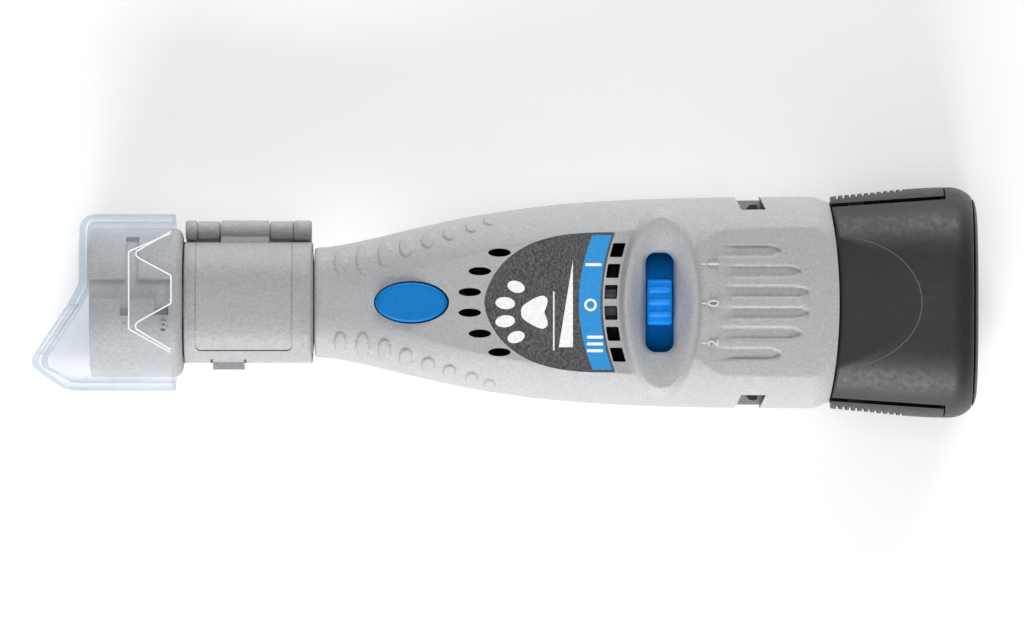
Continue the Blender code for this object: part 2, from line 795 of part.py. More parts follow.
def lock_collar():
    """Collar on the spindle whose cross holes take the lock button's pin."""
    collar = tube(
        "lock_collar", BUTTON_X - 2.6 * MM, BUTTON_X + 2.6 * MM, LOCK_COLLAR_RADIUS, 3.2 * MM, "steel", 24
    )
    for turn in range(4):
        drill = post(f"lock_drill_{turn}", 0, 0, 4.2 * MM, 8 * MM, LOCK_HOLE, segments=16)
        drill.data.transform(Matrix.Rotation(turn * math.pi / 2, 4, "X"))
        drill.data.transform(Matrix.Translation((BUTTON_X, 0, AXIS_Z)))
        cut(collar, drill)
    return collar


def collet():
    """Split collet that grips the mandrel's shank."""
    made = turned(
        "collet",
        (
            (-63.8 * MM, 1.8 * MM),
            (-63.8 * MM, 2.7 * MM),
            (-53.4 * MM, 2.7 * MM),
            (-53.4 * MM, 1.8 * MM),
        ),
        "steel",
        24,
    )
    slit = 0.25 * MM
    for i, (half_y, half_z) in enumerate(((slit, 4 * MM), (4 * MM, slit))):
        low = (-65 * MM, -half_y, AXIS_Z - half_z)
        high = (-56 * MM, half_y, AXIS_Z + half_z)
        cut(made, block(f"collet_slit_{i}", low, high))
    return made


def mandrel_screw():
    """Slotted screw that expands the drum's rubber."""
    front = DRUM_X[0] - 1.1 * MM
    head = rod("mandrel_screw", front, DRUM_X[0] - GAP, 3.0 * MM, "steel", 24)
    cut(
        head,
        block(
            "mandrel_screw_slot",
            (front - MM, -4 * MM, AXIS_Z - 0.4 * MM),
            (front + 0.4 * MM, 4 * MM, AXIS_Z + 0.4 * MM),
        ),
    )
    return head


# ---- fixed parts inside the housing -------------------------------------------------------------
def bearings():
    tube("front_bearing", -46.5 * MM, -40.5 * MM, STUB_BORE - 0.2 * MM, 3.1 * MM, "bronze", 24)
    tube("rear_bearing", -28.0 * MM, -23.2 * MM, 5.3 * MM, 3.1 * MM, "bronze", 24)


def motor():
    x0, x1 = MOTOR_X
    turned(
        "motor_can",
        (
            (x0, 1.5 * MM),
            (x0, MOTOR_RADIUS - 0.6 * MM),
            (x0 + 0.6 * MM, MOTOR_RADIUS),
            (x1, MOTOR_RADIUS),
            (x1, MOTOR_RADIUS - 0.9 * MM),
            (x0 + 0.9 * MM, MOTOR_RADIUS - 0.9 * MM),
            (x0 + 0.9 * MM, 1.5 * MM),
        ),
        "steel",
        28,
    )
    tube("motor_end_cap", x1 + GAP, x1 + 3.0 * MM, MOTOR_RADIUS, 1.5 * MM, "black_plastic", 28)
    for name, middle in (("motor_magnet_upper", math.pi / 2), ("motor_magnet_lower", -math.pi / 2)):
        half = math.radians(58)
        arcs = [middle - half + 2 * half * i / 10 for i in range(11)]
        outer, inner = MOTOR_RADIUS - 1.2 * MM, 8.8 * MM
        outline = [(outer * math.cos(a), AXIS_Z + outer * math.sin(a)) for a in arcs]
        outline += [(inner * math.cos(a), AXIS_Z + inner * math.sin(a)) for a in reversed(arcs)]
        prism(name, outline, 1.5 * MM, 15.5 * MM, "magnet", "X")
    for name, sign in (("motor_brush_left", 1), ("motor_brush_right", -1)):
        low_y, high_y = sorted((sign * 3.3 * MM, sign * 7.0 * MM))
        block(name, (16.8 * MM, low_y, AXIS_Z - 1.4 * MM), (19.8 * MM, high_y, AXIS_Z + 1.4 * MM), "copper")
    for name, sign in (("motor_tag_left", 1), ("motor_tag_right", -1)):
        low_y, high_y = sorted((sign * 6.8 * MM, sign * 9.4 * MM))
        block(
            name,
            (x1 + 3.3 * MM, low_y, AXIS_Z - 0.35 * MM),
            (x1 + 7.0 * MM, high_y, AXIS_Z + 0.35 * MM),
            "copper",
        )


def contacts():
    """The block in the housing that carries the two sprung contacts for the pack."""
    block(
        "contact_block",
        (36.6 * MM, -12.4 * MM, AXIS_Z - 8.0 * MM),
        (39.2 * MM, 12.4 * MM, AXIS_Z + 8.0 * MM),
        "black_plastic",
    )
    for name, sign in (("contact_spring_left", 1), ("contact_spring_right", -1)):
        y0, y1 = sorted((sign * 4.6 * MM, sign * 9.6 * MM))
        path = ((39.55, -6.0), (40.2, -5.0), (45.3, -0.4), (45.5, 0.6), (44.9, 1.5), (42.6, 3.6))
        outline = strip_outline([(x * MM, AXIS_Z + z * MM) for x, z in path], 0.35 * MM)
        loft(name, [[Vector((x, y, z)) for x, z in outline] for y in (y0, y1)], "copper")


def strip_outline(path, thick):
    """A bent strip's outline: the path, and back along its left side at the strip's thickness."""
    points = [Vector(point) for point in path]
    back = []
    for i, point in enumerate(points):
        way = (points[min(i + 1, len(points) - 1)] - points[max(i - 1, 0)]).normalized()
        back.append(point + thick * Vector((-way.y, way.x)))
    return [tuple(point) for point in points + back[::-1]]


def leads():
    """Two insulated wires from the contact block to the switch and on to the motor's tags."""
    routes = {
        "lead_red": ((35.8, 9.2, 2.5), (34.8, 9.6, 3.4), (32.0, 10.0, 2.4), (30.0, 9.4, 1.4), (28.4, 8.6, 1.3)),
        "lead_black": (
            (35.8, -9.2, 2.5),
            (34.8, -9.6, 3.4),
            (32.0, -10.0, 2.4),
            (30.0, -9.4, 1.4),
            (28.4, -8.6, 1.3),
        ),
    }
    for name, route in routes.items():
        curve = bpy.data.curves.new(name, "CURVE")
        curve.dimensions = "3D"
        curve.bevel_depth = 0.65 * MM
        curve.bevel_resolution = 1
        curve.use_fill_caps = True
        spline = curve.splines.new("POLY")
        points = smooth_route([Vector(point) * MM for point in route], 3)
        spline.points.add(len(points) - 1)
        for point, place in zip(spline.points, points):
            point.co = (place.x, place.y, AXIS_Z + place.z, 1)
        curve.materials.append(material("rubber"))
        bpy.context.scene.collection.objects.link(bpy.data.objects.new(name, curve))


def smooth_route(points, steps):
    """Points along a Catmull-Rom curve through the given ones."""
    ends = [2 * points[0] - points[1], *points, 2 * points[-1] - points[-2]]
    made = []
    for a, b, c, d in zip(ends, ends[1:], ends[2:], ends[3:]):
        for i in range(steps):
            t = i / steps
            made.append(
                0.5 * (2 * b + (c - a) * t + (2 * a - 5 * b + 4 * c - d) * t**2 + (3 * b - a - 3 * c + d) * t**3)
            )
    return made + [points[-1]]


# ---- nail guard ---------------------------------------------------------------------------------
def clamp_half(name, side, x0, x1, finish=None):
    outer = lambda x, angle: superellipse(CLAMP_HALF, CLAMP_HALF, 2.4, angle)
    inner = round_arc(NOSE_CAP_RADIUS + GAP)
    rings = [half_shell_ring(x, outer, inner, side, 17, 13) for x in (x0, x1)]
    return loft(name, rings, finish)


def guard_body():
    """Round sleeve round the drum, the clamp's lower half and the hinge's two knuckles."""
    x0, x1 = SLEEVE_X
    bore = SLEEVE_RADIUS - SLEEVE_WALL
    body = turned(
        "guard_body",
        (
            (x0, bore),
            (x0, SLEEVE_RADIUS),
            (x1 - 1.2 * MM, SLEEVE_RADIUS),
            (x1, SLEEVE_RADIUS - 1.2 * MM),
            (x1, NOSE_CAP_RADIUS + 0.6 * MM),
            (x1 - 1.8 * MM, NOSE_CAP_RADIUS + 0.6 * MM),
            (x1 - 1.8 * MM, bore),
        ),
        "grey_plastic",
        36,
    )
    join(body, clamp_half("guard_lower_clamp", -1, x1 - 0.6 * MM, CLAMP_X[1]))
    shelf = block(
        "guard_hinge_shelf", (-63.0 * MM, 11.0 * MM, AXIS_Z - 5.8 * MM), (-39.4 * MM, 13.4 * MM, AXIS_Z - 1.5 * MM)
    )
    join(body, shelf)
    for i, (near, far) in enumerate(KNUCKLES_X):
        join(
            body,
            block(
                f"guard_hinge_arm_{i}",
                (near + 0.1 * MM, 10.9 * MM, AXIS_Z - 6 * MM),
                (far - 0.1 * MM, HINGE_Y + 0.9 * MM, AXIS_Z - 0.25 * MM),
            ),
            rod(f"guard_knuckle_{i}", near, far, KNUCKLE_RADIUS, segments=24, y=HINGE_Y, z=HINGE_Z),
        )
    cut(
        body,
        rod(
            "guard_pin_hole",
            x1 + 0.2 * MM,
            -30 * MM,
            HINGE_PIN_RADIUS + 0.15 * MM,
            segments=20,
            y=HINGE_Y,
            z=HINGE_Z,
        ),
        *guide_track(),
    )
    return body


def sleeve_patch(name, x0, x1, y0, y1, floor):
    """Everything outside the floor radius, over the top of the sleeve, between two X and two Y."""
    angles = [math.acos(y1 / floor), math.acos(y0 / floor)]
    arcs = [angles[0] + (angles[1] - angles[0]) * i / 6 for i in range(7)]
    outer = SLEEVE_RADIUS + 1.2 * MM
    outline = [(outer * math.cos(a), AXIS_Z + outer * math.sin(a)) for a in arcs]
    outline += [(floor * math.cos(a), AXIS_Z + floor * math.sin(a)) for a in reversed(arcs)]
    return prism(name, outline, x0, x1, axis="X")


def guide_track():
    """Shallow track in the sleeve for the cover's peg, with side slots where the cover can be set."""
    floor = SLEEVE_RADIUS - 0.9 * MM
    x, y = PEG_PLACE
    half = 1.9 * MM
    cutters = [sleeve_patch("track", SLEEVE_X[0] - MM, x + 2.1 * MM, y - half, y + half, floor)]
    for i, (slot_x, y0, y1) in enumerate(((-75.6, -2.4, 2.0), (-68.6, -2.4, 2.0), (-74.3, 3.0, 12.0))):
        near, far = slot_x * MM - 1.4 * MM, slot_x * MM + 1.4 * MM
        cutters.append(sleeve_patch(f"track_slot_{i}", near, far, y0 * MM, y1 * MM, floor - 0.05 * MM))
    return cutters


def guard_hinge_pin():
    rod(
        "guard_hinge_pin",
        KNUCKLES_X[0][0] + 0.3 * MM,
        KNUCKLES_X[1][1] - 0.3 * MM,
        HINGE_PIN_RADIUS,
        "grey_plastic",
        20,
        y=HINGE_Y,
        z=HINGE_Z,
    )


def guard_door(joint):
    """The clamp's upper half: a hinged shell with a strap round the pin and a snap tab opposite."""
    door = clamp_half("guard_door", 1, CLAMP_X[0], CLAMP_X[1] - 0.2 * MM, "grey_plastic")
    barrel = tube(
        "guard_strap_barrel",
        STRAP_X[0],
        STRAP_X[1],
        KNUCKLE_RADIUS + 0.1 * MM,
        HINGE_PIN_RADIUS + 0.2 * MM,
        segments=24,
        y=HINGE_Y,
        z=HINGE_Z,
    )
    plate = block(
        "guard_strap",
        (STRAP_X[0], 11.2 * MM, AXIS_Z + 0.3 * MM),
        (STRAP_X[1], HINGE_Y - HINGE_PIN_RADIUS - 0.3 * MM, AXIS_Z + 2.6 * MM),
    )
    tab_top = block(
        "guard_tab_root", (TAB_X[0], -13.4 * MM, AXIS_Z + GAP / 2), (TAB_X[1], -11.2 * MM, AXIS_Z + 3 * MM)
    )
    tab = block(
        "guard_tab", (TAB_X[0], -13.4 * MM, AXIS_Z - 4 * MM), (TAB_X[1], -12.5 * MM, AXIS_Z + 1.5 * MM)
    )
    join(door, barrel, plate, tab_top, tab)
    attach(door, joint)
    for modifier in door.modifiers:
        attach(modifier.object, joint)


def arc_points(centre, radius, start, end, steps):
    """Points on an arc, with angles in degrees."""
    made = []
    for i in range(steps + 1):
        a = math.radians(start + (end - start) * i / steps)
        made.append((centre[0] + radius * math.cos(a), centre[1] + radius * math.sin(a)))
    return made


def cover_outline(inset, rear):
    """Plan of the cover: square back, rounded front corner, a slanted face for the paw and a long chin."""
    half = COVER_HALF[0] - inset
    corner = 3.0 * MM - inset
    front = -84.6 * MM + inset
    tip_x, tip_y = CHIN_TIP[0] + inset * 1.2, CHIN_TIP[1]
    outline = [(rear, -half), (rear, half)]
    outline += arc_points((front + corner, half - corner), corner, 90, 175, 5)
    outline += [(front - 0.1 * MM, 3.6 * MM - inset * 0.3)]
    outline += [(-87.0 * MM + inset, -0.6 * MM - inset * 0.3)]
    outline += arc_points((tip_x + 2.2 * MM, tip_y - 0.8 * MM), 2.2 * MM, 145, 215, 4)
    outline += [(-89.2 * MM + inset * 0.5, -half + 1.4 * MM), (-84.4 * MM, -half)]
    return outline


def rounded_tube_solid(name, x0, x1, half_y, half_z):
    return loft(name, [section(x, half_y, half_z, COVER_POWER, 36) for x in (x0, x1)])


def cover_form(name, inset, rear, finish=None):
    """The cover's outside, or its hollow when inset is the wall: the plan, rounded across."""
    low, high = AXIS_Z - 25 * MM, AXIS_Z + 25 * MM
    form = prism(name, cover_outline(inset, rear), low, high, finish)
    across = rounded_tube_solid(
        name + "_across", -100 * MM, -60 * MM, COVER_HALF[0] - inset, COVER_HALF[1] - inset
    )
    combine(form, across, "INTERSECT")
    return form


def clear_cover(joint):
    cover = cover_form("clear_cover", 0.0, COVER_END_X, "clear_plastic")
    hollow = cover_form("clear_cover_hollow", COVER_WALL, COVER_END_X + 5 * MM)
    port = prism(
        "nail_port", [(-5.4 * MM + y, z) for y, z in ellipse((0, AXIS_Z), (5.0 * MM, 6.0 * MM), 32)],
        -100 * MM, -84.9 * MM, axis="X",
    )
    cut(cover, hollow, port, *tongue_notches())
    x, y = PEG_PLACE
    join(cover, post("cover_peg", x, y, AXIS_Z + 14.35 * MM, AXIS_Z + 17.2 * MM, PEG_RADIUS, segments=16))
    attach(cover, joint)
    for modifier in cover.modifiers:
        attach(modifier.object, joint)


def tongue_notches():
    """Two vee notches in the cover's rear edge that free a tongue between them."""
    low, high = AXIS_Z + 10 * MM, AXIS_Z + 25 * MM
    root, mouth = -73.2 * MM, COVER_END_X + MM
    upper = ((root, 9.9 * MM), (root + 0.6 * MM, 9.0 * MM), (mouth - 1.2 * MM, 5.6 * MM), (mouth, 5.6 * MM), (mouth, 14.8 * MM))
    lower = ((root, -5.1 * MM), (mouth, -10.4 * MM), (mouth, -0.4 * MM), (mouth - 1.2 * MM, -0.4 * MM), (root + 0.4 * MM, -4.0 * MM))
    return prism("notch_upper", upper, low, high), prism("notch_lower", lower, low, high)


# ---- battery pack -------------------------------------------------------------------------------
def pack_half_width(x):
    """Flares gently, then rounds off towards the end face."""
    flare = 21.2 * MM + 1.9 * MM * math.sin(math.pi / 2 * min(1.0, (x - PACK_X[0]) / (22 * MM)))
    past = max(0.0, x - 88.6 * MM) / (PACK_END_X + 0.4 * MM - 88.6 * MM)
    return flare - 5.6 * MM * (1 - math.sqrt(max(0.0, 1 - past**2)))


def pack_ring(x, segments=36):
    """The pack's outline at x: flat underneath, with the sloping flat face on top."""
    width = pack_half_width(x)
    slope = AXIS_Z + REAR_FACE_Z + 0.17 * (x - PACK_X[0])
    ring = section(x, width, width - 3.0 * MM, BODY_POWER, segments)
    for point in ring:
        point.z = min(max(point.z, 0.0), slope)
    return ring


def pack_form(name, x0, x1, finish=None, steps=7):
    places = [x0 + (x1 - x0) * i / steps for i in range(steps + 1)]
    return loft(name, [pack_ring(x) for x in places], finish)


def lever_slice(name, sign, slot, x0, x1):
    """Everything outside the slanted slot plane on one side and over the sill, between x0 and x1."""
    (ax, ay), (bx, by) = LEVER_SLOT
    slant = (by - ay) / (bx - ax)
    inner = [(x, sign * (ay + slant * (x - ax) + slot)) for x in (x0, x1)]
    outline = [*inner, (x1, sign * 30 * MM), (x0, sign * 30 * MM)]
    return prism(name, outline, AXIS_Z + LEVER_SILL + (GAP if slot else 0.0), 60 * MM)


def battery_case():
    case = pack_form("battery_case", PACK_X[0], PACK_X[1] - 0.2 * MM, "dark_plastic", 9)
    neck = loft(
        "pack_neck",
        [section(x, PACK_NECK_HALF, PACK_NECK_HALF, 4, 28) for x in (PACK_NECK_X, PACK_X[0] + MM)],
    )
    join(case, neck)
    cavity = loft(
        "pack_cavity",
        [section(x, PACK_CAVITY_HALF, PACK_CAVITY_HALF, 4, 28) for x in (PACK_NECK_X + 1.2 * MM, 95 * MM)],
    )
    cut(case, cavity)
    for label, sign in (("left", 1), ("right", -1)):
        channel_y = sorted((sign * (ARM_Y[0] - 1.05 * MM), sign * 24 * MM))
        spring_y = sorted((sign * 16.2 * MM, sign * 24 * MM))
        tongue_x, tongue_y, tongue_half = TONGUE
        tongue_sides = sorted((sign * (tongue_y - GAP), sign * 30 * MM))
        cut(
            case,
            lever_slice("lever_bay_" + label, sign, 0.0, 60 * MM, tongue_x + GAP),
            block(
                "tongue_bay_" + label,
                (tongue_x - 0.9 * MM, tongue_sides[0], AXIS_Z - tongue_half - GAP),
                (90.6 * MM, tongue_sides[1], AXIS_Z + tongue_half + GAP),
            ),
            post("latch_pin_bore_" + label, LEVER_HINGE[0], sign * LEVER_HINGE[1], AXIS_Z - 7.4 * MM,
                 AXIS_Z + 7.4 * MM, 0.6 * MM, None, 12),
            block(
                "arm_channel_" + label,
                (60 * MM, channel_y[0], AXIS_Z - ARM_HALF_HEIGHT - 0.5 * MM),
                (72.2 * MM, channel_y[1], AXIS_Z + ARM_HALF_HEIGHT + 0.5 * MM),
            ),
            block(
                "spring_bay_" + label,
                (74.4 * MM, spring_y[0], AXIS_Z - 2.4 * MM),
                (79.2 * MM, spring_y[1], AXIS_Z + 2.4 * MM),
            ),
        )
    return case


def battery_end_cap():
    """Closes the pack's rear end."""
    places = (PACK_X[1] + 0.1 * MM, 93.5 * MM, 93.8 * MM, PACK_END_X)
    loft("battery_end_cap", [pack_ring(x) for x in places], "dark_plastic")


def cells():
    x0 = PACK_NECK_X + 1.9 * MM
    for i, (sy, sz) in enumerate(((1, 1), (-1, 1), (-1, -1), (1, -1))):
        rod(
            f"cell_{i + 1}",
            x0,
            x0 + CELL[1],
            CELL[0],
            "cell_wrap",
            24,
            y=sy * CELL_PITCH,
            z=AXIS_Z + sz * CELL_PITCH,
        )


def pack_terminals():
    for name, sign in (("terminal_left", 1), ("terminal_right", -1)):
        y0, y1 = sorted((sign * 4.4 * MM, sign * 9.8 * MM))
        block(
            name,
            (PACK_NECK_X - 0.55 * MM, y0, AXIS_Z - 2.6 * MM),
            (PACK_NECK_X - 0.25 * MM, y1, AXIS_Z + 2.6 * MM),
            "copper",
        )


def latch_lever(side, sign, joint):
    """Side lever: grip panel outside the pack, and a hooked arm that runs forward inside the housing."""
    name = "latch_lever_" + side
    lever = pack_form(name, PACK_X[0] + 0.2 * MM, 90.2 * MM, "dark_plastic", 5)
    tongue_x, tongue_y, tongue_half = TONGUE
    tongue_sides = sorted((sign * tongue_y, sign * 30 * MM))
    outline = lever_slice(name + "_slice", sign, SLOT_WIDTH, 60 * MM, tongue_x)
    join(
        outline,
        block(
            name + "_tongue",
            (tongue_x - 0.6 * MM, tongue_sides[0], AXIS_Z - tongue_half),
            (95 * MM, tongue_sides[1], AXIS_Z + tongue_half),
        ),
    )
    combine(lever, outline, "INTERSECT")
    arm_y = sorted((sign * ARM_Y[0], sign * ARM_Y[1]))
    jog_y = sorted((sign * ARM_Y[0], sign * 20.6 * MM))
    arm_z = (AXIS_Z - ARM_HALF_HEIGHT, AXIS_Z + ARM_HALF_HEIGHT)
    hook = ((ARM_FRONT_X, ARM_Y[1] - 0.4 * MM), (ARM_FRONT_X + 1.4 * MM, HOOK_TOP_Y))
    hook += ((ARM_FRONT_X + 2.5 * MM, HOOK_TOP_Y), (ARM_FRONT_X + 2.5 * MM, ARM_Y[1] - 0.4 * MM))
    join(
        lever,
        block(name + "_jog", (68.4 * MM, jog_y[0], arm_z[0]), (71.4 * MM, jog_y[1], arm_z[1])),
        block(name + "_arm", (ARM_FRONT_X, arm_y[0], arm_z[0]), (70.0 * MM, arm_y[1], arm_z[1])),
        prism(name + "_hook", [(x, sign * y) for x, y in hook], arm_z[0] + 0.6 * MM, arm_z[1] - 0.6 * MM),
    )
    cut(lever, post(name + "_pin_hole", LEVER_HINGE[0], sign * LEVER_HINGE[1], -MM, 60 * MM, 0.6 * MM, None, 12))
    attach(lever, joint)
    for modifier in lever.modifiers:
        attach(modifier.object, joint)
    pin_half = 6.5 * MM
    post(
        "latch_pin_" + side,
        LEVER_HINGE[0],
        sign * LEVER_HINGE[1],
        AXIS_Z - pin_half,
        AXIS_Z + pin_half,
        0.4 * MM,
        "steel",
        12,
    )
    spring_y = sorted((sign * 16.7 * MM, sign * 20.0 * MM))
    coil(
        "latch_spring_" + side, (76.8 * MM, 0, AXIS_Z), 1.5 * MM, 0.2 * MM, *spring_y, 3.5, "steel", "Y"
    )


# ---- assembly -----------------------------------------------------------------------------------
def build():
    clear_scene()
    housing_front()
    housing_back()
    housing_screws()
    nose_cap()
    label_form("label_plate", 0.0, *LABEL_LEVELS, "label_ink")
    lock_button(pivot("lock_button_joint", (BUTTON_X, 0, AXIS_Z)))
    coil(
        "lock_spring", (BUTTON_X, 0, AXIS_Z), 2.4 * MM, 0.22 * MM, 7.7 * MM, 8.7 * MM, 2.5, "steel"
    )
    switch_slider(pivot("switch_joint", (SWITCH_X, 0, AXIS_Z)))
    switch_module()
    spindle_parts(pivot("spindle_joint", (0, 0, AXIS_Z)))
    bearings()
    motor()
    contacts()
    leads()
    guard_body()
    guard_hinge_pin()
    guard_door(pivot("guard_door_joint", (0, HINGE_Y, HINGE_Z)))
    clear_cover(pivot("clear_cover_joint", (0, 0, AXIS_Z)))
    battery_case()
    battery_end_cap()
    cells()
    pack_terminals()
    for side, sign in (("left", 1), ("right", -1)):
        latch_lever(
            side, sign, pivot(f"latch_{side}_joint", (LEVER_HINGE[0], sign * LEVER_HINGE[1], AXIS_Z))
        )


build()
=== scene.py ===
"""Looks of the cordless pet nail trimmer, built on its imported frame. Axes are the frame's own."""

import json
import math

import bmesh
import bpy
import numpy as np
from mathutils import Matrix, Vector


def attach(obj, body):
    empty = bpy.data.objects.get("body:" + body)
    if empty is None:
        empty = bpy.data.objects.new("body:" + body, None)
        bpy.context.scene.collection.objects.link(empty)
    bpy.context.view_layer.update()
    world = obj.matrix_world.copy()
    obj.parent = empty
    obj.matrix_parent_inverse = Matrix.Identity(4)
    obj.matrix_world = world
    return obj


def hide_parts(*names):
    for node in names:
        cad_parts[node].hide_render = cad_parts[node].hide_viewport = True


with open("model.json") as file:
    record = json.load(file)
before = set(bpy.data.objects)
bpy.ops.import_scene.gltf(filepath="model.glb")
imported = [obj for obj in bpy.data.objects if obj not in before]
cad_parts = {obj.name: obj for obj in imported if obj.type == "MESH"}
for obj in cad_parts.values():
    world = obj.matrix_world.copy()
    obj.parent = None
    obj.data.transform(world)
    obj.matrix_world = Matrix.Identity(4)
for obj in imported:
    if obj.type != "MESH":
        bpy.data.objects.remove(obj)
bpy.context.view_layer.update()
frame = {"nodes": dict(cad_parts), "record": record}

MM = 0.001  # everything below is in millimetres; meshes are scaled once, when they are made
AXIS_Z = 18.5
GAP = 0.3
BUTTON_X, BUTTON_HALF = -18.7, (7.2, 3.95)
GUARD_HINGE = (14.4, AXIS_Z + 1)
GUARD_PIN_X = (-63.6, -39.0)
STRAP_X = (-56.8, -47.2)
LEVER_PIN = (89.0, 21.6)
SMOOTH = math.radians(42)
NODES = frame["nodes"]


# ---- materials ----------------------------------------------------------------------------------
def srgb(red, green, blue):
    """8-bit display colour to the linear colour that shaders use."""
    made = []
    for value in (red, green, blue):
        share = value / 255
        made.append(share / 12.92 if share <= 0.04045 else ((share + 0.055) / 1.055) ** 2.4)
    return (*made, 1.0)


class Shader:
    """A material being wired up: short calls for the nodes that the materials here share."""

    def __init__(self, name):
        self.material = bpy.data.materials.new(name)
        self.material.use_nodes = True
        self.tree = self.material.node_tree
        self.body = self.tree.nodes["Principled BSDF"]
        self.place = self.tree.nodes.new("ShaderNodeTexCoord").outputs["Object"]

    def link(self, output, node_input):
        self.tree.links.new(output, node_input)

    def stretched(self, scale):
        node = self.tree.nodes.new("ShaderNodeMapping")
        node.inputs["Scale"].default_value = scale
        self.link(self.place, node.inputs["Vector"])
        return node.outputs["Vector"]

    def noise(self, scale, detail=3.0, roughness=0.55, place=None):
        node = self.tree.nodes.new("ShaderNodeTexNoise")
        node.inputs["Scale"].default_value = scale
        node.inputs["Detail"].default_value = detail
        node.inputs["Roughness"].default_value = roughness
        self.link(place or self.place, node.inputs["Vector"])
        return node.outputs["Fac"]

    def cells(self, scale):
        node = self.tree.nodes.new("ShaderNodeTexVoronoi")
        node.inputs["Scale"].default_value = scale
        self.link(self.place, node.inputs["Vector"])
        return node.outputs["Distance"]

    def ramp(self, fac, low, high, start=0.0, end=1.0):
        node = self.tree.nodes.new("ShaderNodeValToRGB")
        node.color_ramp.elements[0].position = start
        node.color_ramp.elements[1].position = end
        node.color_ramp.elements[0].color = low
        node.color_ramp.elements[1].color = high
        self.link(fac, node.inputs["Fac"])
        return node.outputs["Color"]

    def span(self, fac, low, high, start=0.0, end=1.0):
        node = self.tree.nodes.new("ShaderNodeMapRange")
        for key, value in (("From Min", start), ("From Max", end), ("To Min", low), ("To Max", high)):
            node.inputs[key].default_value = value
        self.link(fac, node.inputs["Value"])
        return node.outputs["Result"]

    def mix(self, fac, first, second):
        node = self.tree.nodes.new("ShaderNodeMix")
        node.data_type = "RGBA"
        for key, value in (("Factor", fac), ("A", first), ("B", second)):
            socket = [s for s in node.inputs if s.name == key and s.enabled][0]
            if isinstance(value, (float, tuple)):
                socket.default_value = value
            else:
                self.link(value, socket)
        return [s for s in node.outputs if s.enabled][0]

    def bump(self, *layers):
        """Bumps stacked from (height output, depth); depths are in metres, as the shader wants."""
        normal = None
        for height, depth in layers:
            node = self.tree.nodes.new("ShaderNodeBump")
            node.inputs["Distance"].default_value = depth
            self.link(height, node.inputs["Height"])
            if normal:
                self.link(normal, node.inputs["Normal"])
            normal = node.outputs["Normal"]
        self.link(normal, self.body.inputs["Normal"])

    def edges(self):
        """Lighter where the mesh bends outwards: partly rubbed wear, partly a painted highlight along the
        crests.
        """
        node = self.tree.nodes.new("ShaderNodeNewGeometry")
        return self.span(node.outputs["Pointiness"], 0.0, 1.0, 0.55, 0.66)

    def set(self, **values):
        for key, value in values.items():
            socket = self.body.inputs[key.replace("_", " ")]
            if hasattr(value, "links"):
                self.link(value, socket)
            else:
                socket.default_value = value
        return self.material


def tinted(colour, share):
    return tuple(min(1.0, value * share) for value in colour[:3]) + (1.0,)


def moulded_plastic(name, colour, roughness=0.5, grain=2200.0, depth=0.00007, speckle=0.13, wear_and_highlight=0.12):
    """Injection-moulded plastic: a spark-eroded grain, cloudy patches and outward edges painted paler, partly
    rubbed wear and partly a painted highlight.
    """
    shader = Shader(name)
    fine = shader.noise(grain, 2.0, 0.7)
    coarse = shader.noise(grain / 3.2, 2.0, 0.6)
    cloud = shader.noise(45.0, 3.0)
    speckled = shader.ramp(
        fine, tinted(colour, 1 - speckle), tinted(colour, 1 + speckle), 0.30, 0.70
    )
    clouded = shader.mix(shader.span(cloud, 0.0, 0.35, 0.35, 0.75), speckled, tinted(colour, 0.93))
    # paler where the mesh bends outwards: rubbed wear together with a painted edge highlight
    worn_and_highlit = shader.mix(shader.edges(), clouded, tinted(colour, 1 + wear_and_highlight))
    shader.bump((coarse, depth * 1.5), (fine, depth))
    rough = shader.span(coarse, roughness - 0.07, roughness + 0.09, 0.3, 0.7)
    return shader.set(Base_Color=worn_and_highlit, Roughness=rough, Specular_IOR_Level=0.42)


def label_print(name):
    """Dark film printed with fine upright flecks, like brushed hair."""
    shader = Shader(name)
    hairs = shader.noise(1500.0, 4.0, 0.8, shader.stretched((1.9, 1.0, 1.0)))
    dust = shader.noise(4200.0, 2.0, 0.8)
    dark = shader.ramp(hairs, srgb(24, 24, 26), srgb(116, 116, 120), 0.40, 0.72)
    base = shader.mix(shader.span(dust, 0.0, 0.5, 0.45, 0.75), dark, srgb(96, 96, 100))
    shader.bump((dust, 0.00001))
    return shader.set(Base_Color=base, Roughness=0.42, Specular_IOR_Level=0.4)


def ink(name, colour):
    """Printing ink, a little uneven."""
    shader = Shader(name)
    mottle = shader.noise(1500.0, 3.0)
    base = shader.ramp(mottle, tinted(colour, 0.9), tinted(colour, 1.08), 0.35, 0.65)
    shader.bump((mottle, 0.000006))
    return shader.set(Base_Color=base, Roughness=0.4)


def glossy_plastic(name, colour, roughness):
    """Smooth coloured plastic with a light orange peel and faint scuffs; its outward edges are painted much
    paler, a painted highlight.
    """
    shader = Shader(name)
    peel = shader.noise(700.0, 2.0)
    scuff = shader.noise(1600.0, 4.0, 0.7, shader.stretched((1.0, 0.18, 1.0)))
    # outward edges 1.7 times paler: a painted highlight
    base = shader.mix(shader.edges(), shader.ramp(peel, tinted(colour, 0.94), tinted(colour, 1.05)),
                      tinted(colour, 1.7))
    rough = shader.span(scuff, roughness - 0.05, roughness + 0.16, 0.35, 0.75)
    shader.bump((peel, 0.000012), (scuff, 0.0000048))
    return shader.set(Base_Color=base, Roughness=rough, Specular_IOR_Level=0.16)


